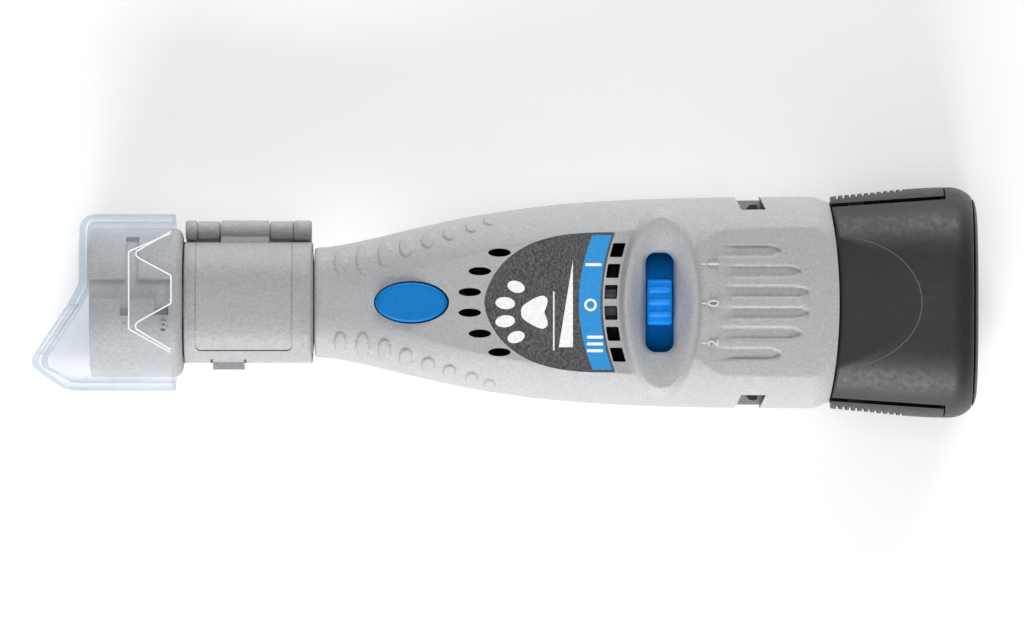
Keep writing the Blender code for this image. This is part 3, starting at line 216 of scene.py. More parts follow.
def clear_plastic(name):
    """Clear moulded wall: sees through, mirrors at a slant, and is a little milky from moulding."""
    shader = Shader(name)
    tree = shader.tree
    haze = shader.noise(120.0, 2.0)
    base = shader.ramp(haze, srgb(240, 245, 248), srgb(252, 253, 255), 0.35, 0.65)
    shader.bump((haze, 0.00002))
    shader.set(Base_Color=base, Roughness=0.10, Specular_IOR_Level=0.6)
    through = tree.nodes.new("ShaderNodeBsdfTransparent")
    slant = tree.nodes.new("ShaderNodeLayerWeight")
    slant.inputs["Blend"].default_value = 0.3
    thickness = shader.ramp(slant.outputs["Facing"], srgb(252, 253, 254), srgb(196, 208, 219), 0.25, 0.95)
    shader.link(thickness, through.inputs["Color"])
    share = shader.span(slant.outputs["Facing"], 0.05, 0.36, 0.2, 0.95)
    milky = tree.nodes.new("ShaderNodeMath")
    milky.operation = "ADD"
    milky.use_clamp = True
    shader.link(share, milky.inputs[0])
    shader.link(shader.span(haze, 0.0, 0.04, 0.35, 0.75), milky.inputs[1])
    blend = tree.nodes.new("ShaderNodeMixShader")
    shader.link(milky.outputs[0], blend.inputs[0])
    shader.link(through.outputs[0], blend.inputs[1])
    shader.link(shader.body.outputs[0], blend.inputs[2])
    shader.link(blend.outputs[0], tree.nodes["Material Output"].inputs["Surface"])
    return shader.material


def metal(name, colour, roughness):
    """Turned metal with fine tool marks round it."""
    shader = Shader(name)
    marks = shader.noise(2200.0, 3.0, 0.6, shader.stretched((0.05, 1.0, 1.0)))
    stain = shader.noise(240.0, 4.0)
    base = shader.ramp(stain, tinted(colour, 0.82), colour, 0.35, 0.65)
    shader.bump((marks, 0.00001))
    rough = shader.span(marks, roughness - 0.08, roughness + 0.12, 0.3, 0.7)
    return shader.set(Base_Color=base, Roughness=rough, Metallic=1.0)


def abrasive(name):
    """Sanding band: packed brown grit of mixed sizes."""
    shader = Shader(name)
    grit = shader.cells(2600.0)
    fine = shader.noise(5200.0, 2.0, 0.8)
    base = shader.ramp(grit, srgb(176, 128, 96), srgb(74, 44, 30), 0.1, 0.7)
    shader.bump((grit, 0.00022), (fine, 0.00008))
    return shader.set(Base_Color=base, Roughness=0.92)


def backdrop(name):
    shader = Shader(name)
    faint = shader.noise(3.0, 2.0)
    base = shader.ramp(faint, srgb(250, 250, 250), srgb(255, 255, 255))
    return shader.set(Base_Color=base, Roughness=0.85, Specular_IOR_Level=0.1, Emission_Color=base,
                      Emission_Strength=0.14)


HOUSING = moulded_plastic("housing_grey", srgb(169, 170, 172), 0.55)
# paler grey for the raised scale digits and ticks: a painted highlight
MARKS_HIGHLIGHT = moulded_plastic("scale_marks_painted_highlight", srgb(206, 207, 208), 0.5, 2200.0, 0.00002, 0.05)
NECK = moulded_plastic("nose_grey", srgb(160, 161, 163), 0.55)
GUARD = moulded_plastic("guard_grey", srgb(160, 161, 163), 0.5, 1900.0, 0.00009, 0.17)
BATTERY = moulded_plastic("battery_dark", srgb(40, 40, 42), 0.46, 2600.0, 0.000015, 0.10, 0.05)
# paler grey for the pack's face line: a painted highlight
RIDGE_HIGHLIGHT = moulded_plastic("battery_ridge_painted_highlight", srgb(84, 84, 87), 0.4, 2600.0, 0.00002, 0.08, 0.2)
ZINC = metal("dark_zinc", srgb(84, 84, 87), 0.42)
BLUE = glossy_plastic("button_blue", srgb(0, 116, 190), 0.36)
KNOB_BLUE = glossy_plastic("knob_blue", srgb(0, 182, 214), 0.34)
# darker blue for the shutter than for the knob it is one piece with: painted shade of the slot it sits in
SHADED_SHUTTER_BLUE = glossy_plastic("shutter_blue_painted_shade", srgb(0, 128, 224), 0.4)
LABEL = label_print("label_print")
BAND_INK = ink("band_blue", srgb(0, 140, 212))
WHITE_INK = ink("white_ink", srgb(240, 241, 242))
CLEAR = clear_plastic("clear_plastic")
# near-white gloss for the cover's ridge lines: a painted highlight
CLEAR_EDGE_HIGHLIGHT = glossy_plastic("clear_edge_painted_highlight", srgb(236, 243, 248), 0.2)
STEEL = metal("turned_steel", srgb(186, 187, 190), 0.28)
BRONZE = metal("bearing_bronze", srgb(176, 128, 70), 0.38)
COPPER = metal("bare_copper", srgb(196, 118, 74), 0.32)
MAGNET = moulded_plastic("sintered_magnet", srgb(86, 86, 88), 0.6, 3400.0, 0.00002, 0.2)
RUBBER = moulded_plastic("dull_rubber", srgb(44, 44, 45), 0.75, 1800.0, 0.00003, 0.12)
INNER = moulded_plastic("inner_black", srgb(40, 40, 42), 0.5, 2400.0)
RED_LEAD = moulded_plastic("lead_red", srgb(150, 30, 26), 0.45, 2400.0, 0.00001)
BLACK_LEAD = moulded_plastic("lead_black", srgb(30, 30, 31), 0.45, 2400.0, 0.00001)
CELL_WRAP = glossy_plastic("cell_wrap", srgb(40, 120, 74), 0.32)
GRIT = abrasive("sanding_grit")
BACKDROP = backdrop("backdrop_white")


# ---- mesh helpers -------------------------------------------------------------------------------
def add_mesh(name, points, faces, finish, smooth=True, angle=35):
    mesh = bpy.data.meshes.new(name)
    mesh.from_pydata([[float(value) * MM for value in point] for point in points], [], faces)
    mesh.validate()
    tidy = bmesh.new()
    tidy.from_mesh(mesh)
    bmesh.ops.recalc_face_normals(tidy, faces=tidy.faces)
    tidy.to_mesh(mesh)
    tidy.free()
    if smooth:
        mesh.shade_smooth()
        mesh.set_sharp_from_angle(angle=math.radians(angle))
    if finish:
        mesh.materials.append(finish)
    made = bpy.data.objects.new(name, mesh)
    bpy.context.scene.collection.objects.link(made)
    return made


def rings_solid(name, rings, finish, angle=35):
    """A closed solid through rings of equal length."""
    count = len(rings[0])
    faces = []
    for i in range(len(rings) - 1):
        for j in range(count):
            k = (j + 1) % count
            faces.append((i * count + j, i * count + k, (i + 1) * count + k, (i + 1) * count + j))
    last = (len(rings) - 1) * count
    faces.append(tuple(reversed(range(count))))
    faces.append(tuple(range(last, last + count)))
    points = [point for ring in rings for point in ring]
    return add_mesh(name, points, faces, finish, angle=angle)


def prism(name, outline, low, high, finish=None, axis="Z", angle=35):
    """An outline in XY, YZ or XZ pushed between two levels."""
    place = {
        "Z": lambda a, b, level: (a, b, level),
        "X": lambda a, b, level: (level, a, b),
        "Y": lambda a, b, level: (a, level, b),
    }[axis]
    rings = [[place(a, b, level) for a, b in outline] for level in (low, high)]
    return rings_solid(name, rings, finish, angle)


def block(name, low, high, finish=None):
    (x0, y0, z0), (x1, y1, z1) = low, high
    return prism(name, ((x0, y0), (x1, y0), (x1, y1), (x0, y1)), z0, z1, finish)


def ellipse(centre, half, count=64, turn=0.0):
    made = []
    for i in range(count):
        a = 2 * math.pi * i / count
        x, y = half[0] * math.cos(a), half[1] * math.sin(a)
        made.append((centre[0] + x * math.cos(turn) - y * math.sin(turn),
                     centre[1] + x * math.sin(turn) + y * math.cos(turn)))
    return made


def rounded(low, high, radius, count=8):
    """Rounded rectangle between two corners."""
    (x0, y0), (x1, y1) = low, high
    corners = ((x1 - radius, y1 - radius, 0), (x0 + radius, y1 - radius, 90),
               (x0 + radius, y0 + radius, 180), (x1 - radius, y0 + radius, 270))
    made = []
    for x, y, start in corners:
        for i in range(count + 1):
            a = math.radians(start + 90 * i / count)
            made.append((x + radius * math.cos(a), y + radius * math.sin(a)))
    return made


def turned(name, profile, finish, segments=96, y=0.0, z=AXIS_Z):
    """A closed profile of (x, radius) turned about a line along X."""
    turns = [2 * math.pi * i / segments for i in range(segments)]
    points, faces = [], []
    for x, radius in profile:
        reach = max(radius, 0.001)
        points += [(x, y + reach * math.cos(a), z + reach * math.sin(a)) for a in turns]
    rows = len(profile)
    for i in range(rows):
        for j in range(segments):
            k, n = (j + 1) % segments, (i + 1) % rows
            faces.append((i * segments + j, i * segments + k, n * segments + k, n * segments + j))
    return add_mesh(name, points, faces, finish)


def ridge_ring(x, y, across, top, depth):
    """Section of a thin raised line: half its width to each side, and a root below its top."""
    dx, dy = across
    return [(x - dx, y - dy, top - depth), (x + dx, y + dy, top - depth),
            (x + dx, y + dy, top), (x - dx, y - dy, top)]


def carve(target, cutters, operation="DIFFERENCE"):
    """Boolean steps, applied at once, after which the cutters are gone."""
    for cutter in cutters:
        step = target.modifiers.new(cutter.name, "BOOLEAN")
        step.operation = operation
        step.solver = "EXACT"
        step.object = cutter
    applied(target)
    target.data.set_sharp_from_angle(angle=math.radians(38))
    for cutter in cutters:
        bpy.data.objects.remove(cutter)
    return target


def applied(target):
    bpy.context.view_layer.update()
    graph = bpy.context.evaluated_depsgraph_get()
    mesh = bpy.data.meshes.new_from_object(target.evaluated_get(graph))
    target.modifiers.clear()
    target.data = mesh
    return target


def joined(name, pieces):
    """One object of several meshes."""
    work = bmesh.new()
    finishes = []
    for piece in pieces:
        mesh = applied(piece).data
        start = len(work.faces)
        work.from_mesh(mesh)
        work.faces.ensure_lookup_table()
        offset = len(finishes)
        finishes += list(mesh.materials)
        for face in work.faces[start:]:
            face.material_index += offset
    mesh = bpy.data.meshes.new(name)
    work.to_mesh(mesh)
    work.free()
    for finish in finishes:
        mesh.materials.append(finish)
    for piece in pieces:
        bpy.data.objects.remove(piece)
    made = bpy.data.objects.new(name, mesh)
    bpy.context.scene.collection.objects.link(made)
    return made


def settle(piece, body, slot, *nodes):
    """Binds a piece to the frame: puts it under its body and hides the CAD nodes it stands for; the slot is
    not used.
    """
    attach(piece, body)
    if nodes:
        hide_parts(*nodes)
    return piece


# ---- shape of the housing -----------------------------------------------------------------------
NECK_X, FACE_X = -37.2, -26.8
HOUSING_END = 66.4
RING = (30.9, -0.1, 8.15, 18.9)
FLUTES = ((2.05, 60.6), (6.15, 59.0), (10.25, 55.0))
PADS = ((-32.9, 8.0, 1.2, 2.05), (-28.4, 8.6, 1.28, 2.6), (-24.1, 9.6, 1.25, 2.3),
        (-19.8, 11.0, 1.28, 1.85), (-15.4, 12.4, 1.28, 1.5), (-11.1, 13.7, 1.25, 1.3),
        (-6.7, 15.0, 1.2, 1.1), (-3.2, 16.2, 1.1, 0.9))


def smoothstep(value):
    value = np.clip(value, 0.0, 1.0)
    return value * value * (3 - 2 * value)


def half_width(x):
    along = np.maximum(0.0, x - NECK_X) / 31.8
    swell = 11.0 + 10.2 * (1 - np.exp(-(along**1.5)))
    return swell - 1.25 * np.clip((x - 60.8) / 5.6, 0.0, 1.0) ** 2


def face_height(x):
    along = np.minimum(x, 26.0) - FACE_X
    front = 11.1 + 0.158 * along - 0.00172 * along**2
    return front + (17.2 - front) * smoothstep((x - 26.0) / 12.0)


def superellipse(width, depth, power, angle):
    share = 2 / power
    c, s = np.cos(angle), np.sin(angle)
    return width * np.sign(c) * np.abs(c) ** share, depth * np.sign(s) * np.abs(s) ** share


def soft_min(a, b, blend):
    """The lower of two heights, with the edge between them rounded."""
    share = np.clip(0.5 + 0.5 * (b - a) / blend, 0.0, 1.0)
    return b + (a - b) * share - blend * share * (1 - share)


def crown(x):
    """How much the flat face drops towards its sides behind the switch."""
    return 0.0098 * smoothstep((x - 34.0) / 10.0)


def ring_reach(x, y):
    return np.hypot((x - RING[0]) / RING[2], (y - RING[1]) / RING[3])


def slot_distance(x, y):
    """Distance outside the switch window, negative inside it."""
    across = np.abs(x - 30.62) - (2.78 - 2.0)
    along = np.abs(y) - (9.9 - 2.0)
    outside = np.hypot(np.maximum(across, 0.0), np.maximum(along, 0.0))
    return outside + np.minimum(np.maximum(across, along), 0.0) - 2.0


def with_ring(x, y, z):
    """Raises the oval collar round the switch: a level crest, steep outside and dished towards the switch."""
    reach = ring_reach(x, y)
    crest = 18.2 - 0.004 * y**2
    dish = 15.0 + (crest - 15.0) * smoothstep((reach - 0.38) / 0.48)
    dish = dish - 1.0 * (1 - np.clip(slot_distance(x, y) / 1.0, 0.0, 1.0)) ** 2
    outside = z + np.maximum(crest - z, 0.0) * smoothstep((1.02 - reach) / 0.13)
    return np.where(reach < 0.89, dish, outside)


def flute_depth(x, y):
    total = np.zeros_like(x)
    for middle, end in FLUTES:
        for sign in (1, -1):
            ahead = np.maximum(0.0, x - (end - 3.6)) / 2.65
            reach = np.hypot(ahead, y - sign * middle)
            shape = smoothstep((1.36 - reach) / 0.26)
            total = np.maximum(total, shape * smoothstep((x - 40.5) / 6.0))
    return 0.55 * total


def pad_height(x, y):
    total = np.zeros_like(x)
    for px, py, a, b in PADS:
        reach = np.hypot((x - px) / a, (np.abs(y) - py) / b)
        total = np.maximum(total, smoothstep((1.07 - reach) / 0.14))
    return 0.36 * total


def normals(grid):
    along = np.gradient(grid, axis=0)
    round_it = np.gradient(grid, axis=1)
    out = np.cross(along, round_it)
    out /= np.linalg.norm(out, axis=2, keepdims=True) + 1e-12
    middle = grid.mean(axis=1, keepdims=True)
    middle[:, :, 2] = 0.0
    flip = np.sign(((grid - middle) * out).sum(axis=2, keepdims=True))
    return out * np.where(flip == 0, 1, flip)


def bowed(x, y, edge, reach):
    """Moves the rings near an edge so that it bows towards +X in the middle."""
    share = smoothstep(1 - np.abs(x - edge) / reach)
    return x + share * (-0.1 - 1.8 * (y / 20.0) ** 2)


# ---- housing ------------------------------------------------------------------------------------
def skin_grid(stations, angles, side):
    """Outer skin points over X stations and angles, with the face, ring, flutes and pads worked in."""
    x, a = np.meshgrid(stations, angles, indexing="ij")
    width = half_width(x)
    y, z = superellipse(width, width * 0.88, 2.5, a)
    if side > 0:
        flat = face_height(x) - crown(x) * y**2
        z = np.maximum(soft_min(z, flat, 0.12), GAP / 2)
    else:
        z = np.clip(z, -AXIS_Z, -GAP / 2)
    grid = np.stack([bowed(x, y, HOUSING_END, 7.0), y, z], axis=2)
    if side > 0:
        out = normals(grid)
        rise = (pad_height(x, y) - flute_depth(x, y)) * smoothstep((z - 1.5) / 2.5)
        grid = grid + out * rise[..., None]
        grid[..., 2] = with_ring(x, y, grid[..., 2])
        grid[..., 2] = np.maximum(grid[..., 2], GAP / 2)
    grid[..., 2] += AXIS_Z
    return grid


def inner_grid(stations, angles, side):
    x, a = np.meshgrid(stations, angles, indexing="ij")
    width = half_width(x) - 2.2
    y, z = superellipse(width, width * 0.88, 2.5, a)
    if side > 0:
        flat = face_height(x) - crown(x) * y**2 - 1.5
        z = np.minimum(z, np.where(ring_reach(x, y) < 0.95, 13.6, flat))
        z = np.maximum(np.minimum(z, flat), GAP / 2)
    else:
        z = np.minimum(z, -GAP / 2)
    return np.stack([bowed(x, y, HOUSING_END, 7.0), y, z + AXIS_Z], axis=2)


def neck_rings(side, outer_angles, inner_angles):
    """The threaded stub ahead of the shell, and the shoulder where the grip begins."""
    rings = []
    low = GAP / 2 * side

    def arc(x, radius, angles):
        made = []
        for a in angles:
            z = radius * math.sin(a)
            made.append((x, radius * math.cos(a), AXIS_Z + (max(z, low) if side > 0 else min(z, low))))
        return made

    for x, radius in ((-47.0, 7.2), (-46.6, 7.6), (-38.3, 7.6)):
        rings.append(arc(x, radius, outer_angles) + arc(x, 5.5, inner_angles))
    for x, share in ((-38.1, 0.955), (-37.9, 0.985), (-37.5, 1.0)):
        width = half_width(np.array(x)) * share
        y, z = superellipse(width, width * 0.88, 2.5, np.array(outer_angles))
        z = np.maximum(z, low) if side > 0 else np.minimum(z, low)
        skin = [(x, py, AXIS_Z + pz) for py, pz in zip(y, z)]
        rings.append(skin + arc(x, 5.5, inner_angles))
    return rings


def housing_shell(name, side, stations, outer_count, inner_count):
    turn = 0.0 if side > 0 else math.pi
    outer_angles = turn + np.linspace(0.0, math.pi, outer_count)
    inner_angles = turn + np.linspace(math.pi, 0.0, inner_count)
    outside = skin_grid(stations, outer_angles, side)
    inside = inner_grid(stations, inner_angles, side)
    rings = neck_rings(side, outer_angles, inner_angles)
    rings += [list(map(tuple, np.concatenate([a, b]))) for a, b in zip(outside, inside)]
    return rings_solid(name, rings, HOUSING, angle=42)


def wall_rib(name, side, x0, x1, bore):
    """A cross wall inside a shell with a half-round seat for a bearing or the motor."""
    outline = []
    for i in range(25):
        a = (0 if side > 0 else math.pi) + math.pi * i / 24
        width = half_width(np.array(x0)) - 1.0
        y, z = superellipse(width, width * 0.88, 2.5, np.array(a))
        z = min(float(z), float(face_height(x0)) - 0.7) if side > 0 else float(z)
        outline.append((float(y), AXIS_Z + side * max(GAP / 2, side * z)))
    for i in range(25):
        a = (math.pi if side > 0 else 2 * math.pi) - math.pi * i / 24
        outline.append((bore * math.cos(a), AXIS_Z + side * max(GAP / 2, side * bore * math.sin(a))))
    return prism(name, outline, x0, x1, HOUSING, "X")


def ribs(name, side):
    return [
        wall_rib(name + "_bearing_rib", side, -26.6, -24.6, 5.5),
        wall_rib(name + "_motor_rib", side, -2.6, -1.0, 11.8),
        wall_rib(name + "_motor_rear_rib", side, 17.4, 19.0, 11.8),
    ]


def post(name, x, y, low, high, radius):
    return prism(name, ellipse((x, y), (radius, radius), 40), low, high, HOUSING)


SCREWS = [(x, sign * y) for x, y in ((-12.0, 11.4), (42.6, 15.6)) for sign in (1, -1)]
WINDOW_PLAN = ((47.1, 17.3), (52.0, 17.3), (51.8, 18.5), (49.4, 24), (44.4, 24), (46.9, 18.5))


def latch_windows(name):
    """Cutters for the two openings that the pack's hooks catch in, slanting forward as they go out."""
    made = []
    for sign in (1, -1):
        outline = [(x, sign * y) for x, y in WINDOW_PLAN]
        made.append(prism(f"{name}_{sign}", outline, AXIS_Z - 6.4, AXIS_Z + 11.2, HOUSING))
    return made


def label_half(x):
    return 13.7 * max(0.0, 1 - ((21.5 - x) / 25.5) ** 3) ** 0.60


def label_rear(y):
    return 58.8 - math.sqrt(39.7**2 - y * y)


def face_at(x):
    return AXIS_Z + float(face_height(np.array(float(x))))


def draped(name, outline, low, high, finish):
    """An outline in plan as a thin plate that follows the flat front face, low to high above it."""
    rings = [[(x, y, face_at(x) + level) for x, y in outline] for level in (low, high)]
    return rings_solid(name, rings, finish, 30)


def label_slab(name, spread, low, high, finish=None):
    """The label's shape in plan as cross strips, so that it bends with the face."""
    rings = []
    count = 72
    for i in range(count + 1):
        share = 1 - math.cos(math.pi / 2 * (i + 0.12) / (count + 0.12))
        half = label_half(-4.0 + 25.5 * share) + spread * min(1.0, 8 * share)
        x = -4.0 - spread + (25.5 + 2 * spread) * share
        bottom, top = face_at(x) + low, face_at(x) + high
        rings.append([(x, -half, bottom), (x, half, bottom), (x, half, top), (x, -half, top)])
    slab = rings_solid(name, rings, finish, 30)
    rear = prism(name + "_rear", ellipse((58.8, 0), (39.7 - spread, 39.7 - spread), 256), 0, 60)
    return carve(slab, [rear])


def vent_cutters():
    cutters = []
    for i, (x, y) in enumerate(((-7.1, 2.05), (-5.1, 6.2), (-1.2, 9.9))):
        for sign in (1, -1):
            outline = ellipse((x, sign * y), (2.25, 0.82), 32)
            cutters.append(prism(f"oval_vent_{i}_{sign}", outline, AXIS_Z + 2, 45, HOUSING))
    for i, y in enumerate((2.08, 6.25, 10.4)):
        for sign in (1, -1):
            square = rounded((0.55, sign * y - 1.4), (3.05, sign * y + 1.4), 0.25, 4)
            outline = [(px + label_rear(py), py) for px, py in square]
            cutters.append(prism(f"square_vent_{i}_{sign}", outline, AXIS_Z + 8, 45, HOUSING))
    return cutters


def window_outline():
    """The switch window: long, with round ends."""
    return rounded((27.85, -9.9), (33.4, 9.9), 2.0, 14)


def housing_front():
    stations = np.concatenate([np.arange(-37.1, 66.0, 0.3), np.linspace(66.02, HOUSING_END, 4)])
    shell = housing_shell("housing_front", 1, stations, 231, 45)
    extras = ribs("front", 1)
    extras.append(block("lock_bridge", (-22.1, -11.9, AXIS_Z + 6.5), (-15.3, 11.9, AXIS_Z + 7.3), HOUSING))
    for i, (x, y) in enumerate(SCREWS):
        top = AXIS_Z + 0.54 * float(half_width(np.array(x)))
        extras.append(post(f"front_boss_{i}", x, y, AXIS_Z + GAP / 2, top, 2.5))
    carve(shell, extras, "UNION")
    hole = [half + GAP for half in BUTTON_HALF]
    pocket = [half + 1.15 for half in BUTTON_HALF]
    cutters = [
        prism("button_pocket", ellipse((BUTTON_X, 0), pocket), AXIS_Z + 7.35, AXIS_Z + 10, HOUSING),
        prism("button_hole", ellipse((BUTTON_X, 0), hole, 96), AXIS_Z + 8, 45, HOUSING),
        post("lock_pin_hole", BUTTON_X, 0, AXIS_Z + 5, AXIS_Z + 9, 1.6),
        prism("switch_window", window_outline(), AXIS_Z + 8, 45, HOUSING),
        *vent_cutters(),
        *latch_windows("front_latch_window"),
    ]
    for i, (x, y) in enumerate(SCREWS):
        cutters.append(post(f"front_pilot_{i}", x, y, AXIS_Z - 1, AXIS_Z + 6, 1.3))
    carve(shell, cutters)
    carve(shell, [label_slab("label_recess", 0.22, -0.5, 6.0, HOUSING)])
    shell.name = "front_shell"
    shell.data.set_sharp_from_angle(angle=SMOOTH)
    return settle(shell, "tool_body", "housing", "housing_front")


def housing_back():
    stations = np.concatenate([np.arange(-37.1, 66.0, 0.6), np.linspace(66.02, HOUSING_END, 3)])
    shell = housing_shell("housing_back", -1, stations, 121, 45)
    extras = ribs("back", -1)
    for i, (x, y) in enumerate(SCREWS):
        bottom = AXIS_Z + 0.3 - 0.54 * float(half_width(np.array(x)))
        extras.append(post(f"back_boss_{i}", x, y, bottom, AXIS_Z - GAP / 2, 2.9))
    carve(shell, extras, "UNION")
    cutters = latch_windows("back_latch_window")
    for i, (x, y) in enumerate(SCREWS):
        cutters.append(post(f"back_hole_{i}", x, y, AXIS_Z - 9, AXIS_Z + 1, 1.3))
        cutters.append(post(f"back_counterbore_{i}", x, y, -5, AXIS_Z - 8, 2.3))
    carve(shell, cutters)
    shell.name = "back_shell"
    shell.data.set_sharp_from_angle(angle=SMOOTH)
    return settle(shell, "tool_body", "housing", "housing_back")


def housing_screws():
    """Pan-head screws with a cross recess, at the bottom of their counterbores."""
    seat = AXIS_Z - 8 - GAP / 2
    for i, (x, y) in enumerate(SCREWS):
        head = rings_solid(f"screw_head_{i}", [
            [(px, py, level) for px, py in ellipse((x, y), (radius, radius), 48)]
            for radius, level in ((1.6, seat - 1.4), (1.95, seat - 1.2), (2.1, seat - 0.75), (2.1, seat))
        ], STEEL)
        thread = []
        for k in range(34):
            radius = 1.1 if k % 2 else 0.86
            level = seat - 0.1 + k * 0.385
            thread.append([(px, py, level) for px, py in ellipse((x, y), (radius, radius), 32)])
        carve(head, [rings_solid(f"screw_thread_{i}", thread, STEEL)], "UNION")
        bars = []
        for turn, (hx, hy) in enumerate(((1.35, 0.26), (0.26, 1.35))):
            outline = [(x - hx, y - hy), (x + hx, y - hy), (x + hx, y + hy), (x - hx, y + hy)]
            bars.append(prism(f"recess_{i}_{turn}", outline, seat - 2.4, seat - 0.6, STEEL))
        carve(head, bars)
        head.name = f"screw_{i + 1}"
        settle(head, "tool_body", "steel", f"housing_screw_{i + 1}")


# ---- label --------------------------------------------------------------------------------------
INK_LEVELS = (0.02, 0.125)


def strip(name, x_front, x_rear, low_y, high_y, finish, count=24):
    """Printed strip between two X curves, drawn across the label."""
    rings = []
    for i in range(count + 1):
        y = low_y + (high_y - low_y) * i / count
        x0, x1 = x_front(y), x_rear(y)
        ring = [(x0, y, face_at(x0) + INK_LEVELS[0]), (x1, y, face_at(x1) + INK_LEVELS[0])]
        ring += [(x1, y, face_at(x1) + INK_LEVELS[1]), (x0, y, face_at(x0) + INK_LEVELS[1])]
        rings.append(ring)
    return rings_solid(name, rings, finish, 30)


def mark(name, outline):
    """White ink, printed a little thicker than the band so that it lies over it."""
    return draped(name, outline, INK_LEVELS[0], INK_LEVELS[1] + 0.02, WHITE_INK)


def paw_marks():
    """Four toes and a three-lobed pad, printed in white with the toes towards the nose."""
    toes = ((2.1, 3.1, 1.75, 1.15, -0.30), (-0.05, -0.15, 1.95, 1.2, -0.10),
            (-0.05, -3.75, 1.95, 1.2, 0.10), (2.1, -6.9, 1.75, 1.15, 0.30))
    pieces = [
        mark(f"toe_{i}", ellipse((x, y), (a, b), 40, turn)) for i, (x, y, a, b, turn) in enumerate(toes)
    ]
    half = ((-2.5, 0.0), (-2.2, 1.15), (-1.0, 2.1), (0.7, 3.0), (2.0, 3.25), (2.75, 2.5), (2.6, 1.3),
            (2.15, 0.0))
    pad = smooth_loop([*half, *((u, -v) for u, v in reversed(half[1:-1]))])
    return pieces + [mark("paw_pad", [(5.6 + u, -1.95 + v) for u, v in pad])]


def smooth_loop(points):
    """A closed Catmull-Rom curve through the points."""
    made = []
    steps = 8
    count = len(points)
    for i in range(count):
        a, b, c, d = (points[(i + k - 1) % count] for k in range(4))
        for step in range(steps):
            t = step / steps
            made.append(tuple(
                0.5 * (2 * q + (r - p) * t
                       + (2 * p - 5 * q + 4 * r - o) * t**2 + (3 * q - p - 3 * r + o) * t**3)
                for p, q, r, o in zip(a, b, c, d)
            ))
    return made


def bar(name, x0, x1, y0, y1):
    return mark(name, rounded((x0, y0), (x1, y1), 0.16, 3))


def speed_symbols():
    """One bar, a ring and three bars across the blue band: slow, off, fast."""
    pieces = [bar("slow_bar", 15.9, 19.1, 7.2, 7.8)]
    ring = mark("off_ring", ellipse((16.9, -0.5), (1.25, 1.25), 48))
    hole = prism("off_ring_hole", ellipse((16.9, -0.5), (0.78, 0.78), 48), 10, 60, WHITE_INK)
    pieces.append(carve(ring, [hole]))
    for i in range(3):
        y = -9.6 + 1.35 * i
        pieces.append(bar(f"fast_bar_{i}", 16.2, 19.4, y - 0.3, y + 0.3))
    wedge = [(13.4, 8.4), (10.6, -8.9), (13.4, -8.9)]
    return pieces + [mark("speed_wedge", wedge), bar("divider", 9.45, 9.75, -9.6, 2.2)]


def label_plate():
    plate = label_slab("label_film", 0.0, -0.2, 0.1, LABEL)
    band = strip(
        "speed_band",
        lambda y: 14.6 + y * y / 66.0,
        lambda y: label_rear(y) - 0.25,
        -13.4,
        13.4,
        BAND_INK,
        60,
    )
    pieces = [plate, band, *paw_marks(), *speed_symbols()]
    return settle(joined("label", pieces), "tool_body", "label", "label_plate")


def raised_digit(digit, size, offset, place, turn, finish):
    """A digit moulded 0.3 mm up and down from its place, turned by Euler angles."""
    curve = bpy.data.curves.new("digit_" + digit, "FONT")
    curve.body = digit
    curve.size = size * MM
    curve.extrude = 0.3 * MM
    curve.offset = offset * MM
    curve.resolution_u = 6
    curve.align_x = "CENTER"
    curve.align_y = "CENTER"
    text = bpy.data.objects.new("digit_" + digit, curve)
    bpy.context.scene.collection.objects.link(text)
    text.rotation_euler = turn
    text.location = Vector(place) * MM
    bpy.context.view_layer.update()
    graph = bpy.context.evaluated_depsgraph_get()
    mesh = bpy.data.meshes.new_from_object(text.evaluated_get(graph))
    mesh.transform(text.matrix_world)
    mesh.materials.clear()
    mesh.materials.append(finish)
    bpy.data.objects.remove(text)
    made = bpy.data.objects.new("digit_mesh_" + digit, mesh)
    bpy.context.scene.collection.objects.link(made)
    return made


def raised_marks():
    """Digits and ticks of the speed scale, moulded on the face behind the switch, in a grey paler than the
    housing's: a painted highlight on the raised marks.
    """
    pieces = []
    x = 41.4
    for digit, y in (("1", 7.6), ("0", -0.2), ("2", -8.1)):
        level = face_at(x) - float(crown(np.array(x))) * y * y
        pieces.append(raised_digit(digit, 2.9, 0.03, (x, y, level + 0.10), (0, 0, math.pi / 2), MARKS_HIGHLIGHT))
        low, high = (39.0, y - 0.13, level - 0.3), (39.85, y + 0.13, level + 0.26)
        pieces.append(block("tick_" + digit, low, high, MARKS_HIGHLIGHT))
    return settle(joined("scale_digits", pieces), "tool_body", "housing")


# ---- controls -----------------------------------------------------------------------------------
def lock_button():
    """The oval button: a domed cap on a flange that holds it in, with a pin for the spindle lock."""
    rings = []
    for level, share in ((9.0, 1.0), (12.35, 1.0), (12.65, 0.99), (12.86, 0.965), (13.0, 0.93), (13.08, 0.88),
                         (13.1, 0.82), (13.07, 0.74), (13.02, 0.6), (12.97, 0.4), (12.95, 0.15)):
        outline = ellipse((BUTTON_X, 0), [half * share for half in BUTTON_HALF], 96)
        rings.append([(x, y, AXIS_Z + level) for x, y in outline])
    cap = rings_solid("button_cap", rings, BLUE, 50)
    flange = prism("button_flange", ellipse((BUTTON_X, 0), (8.0, 4.75), 96), AXIS_Z + 9.1, AXIS_Z + 9.8, BLUE)
    pin = prism("button_pin", ellipse((BUTTON_X, 0), (1.2, 1.2), 48), AXIS_Z + 6.5, AXIS_Z + 9.5, BLUE)
    carve(cap, [flange, pin], "UNION")
    cap.name = "button"
    return settle(cap, "lock_button", "blue", "lock_button")


def knob_top(y):
    """Height of the knob over the axis: domed, with three raised ribs."""
    dome = 18.35 - 0.75 * (y / 4.5) ** 2 - 2.2 * max(0.0, (abs(y) - 3.9) / 0.6) ** 2 * 0.5
    rise = sum(math.exp(-(((y - rib) / 0.34) ** 2)) for rib in (2.35, 0.0, -2.35))
    return dome + 0.45 * rise


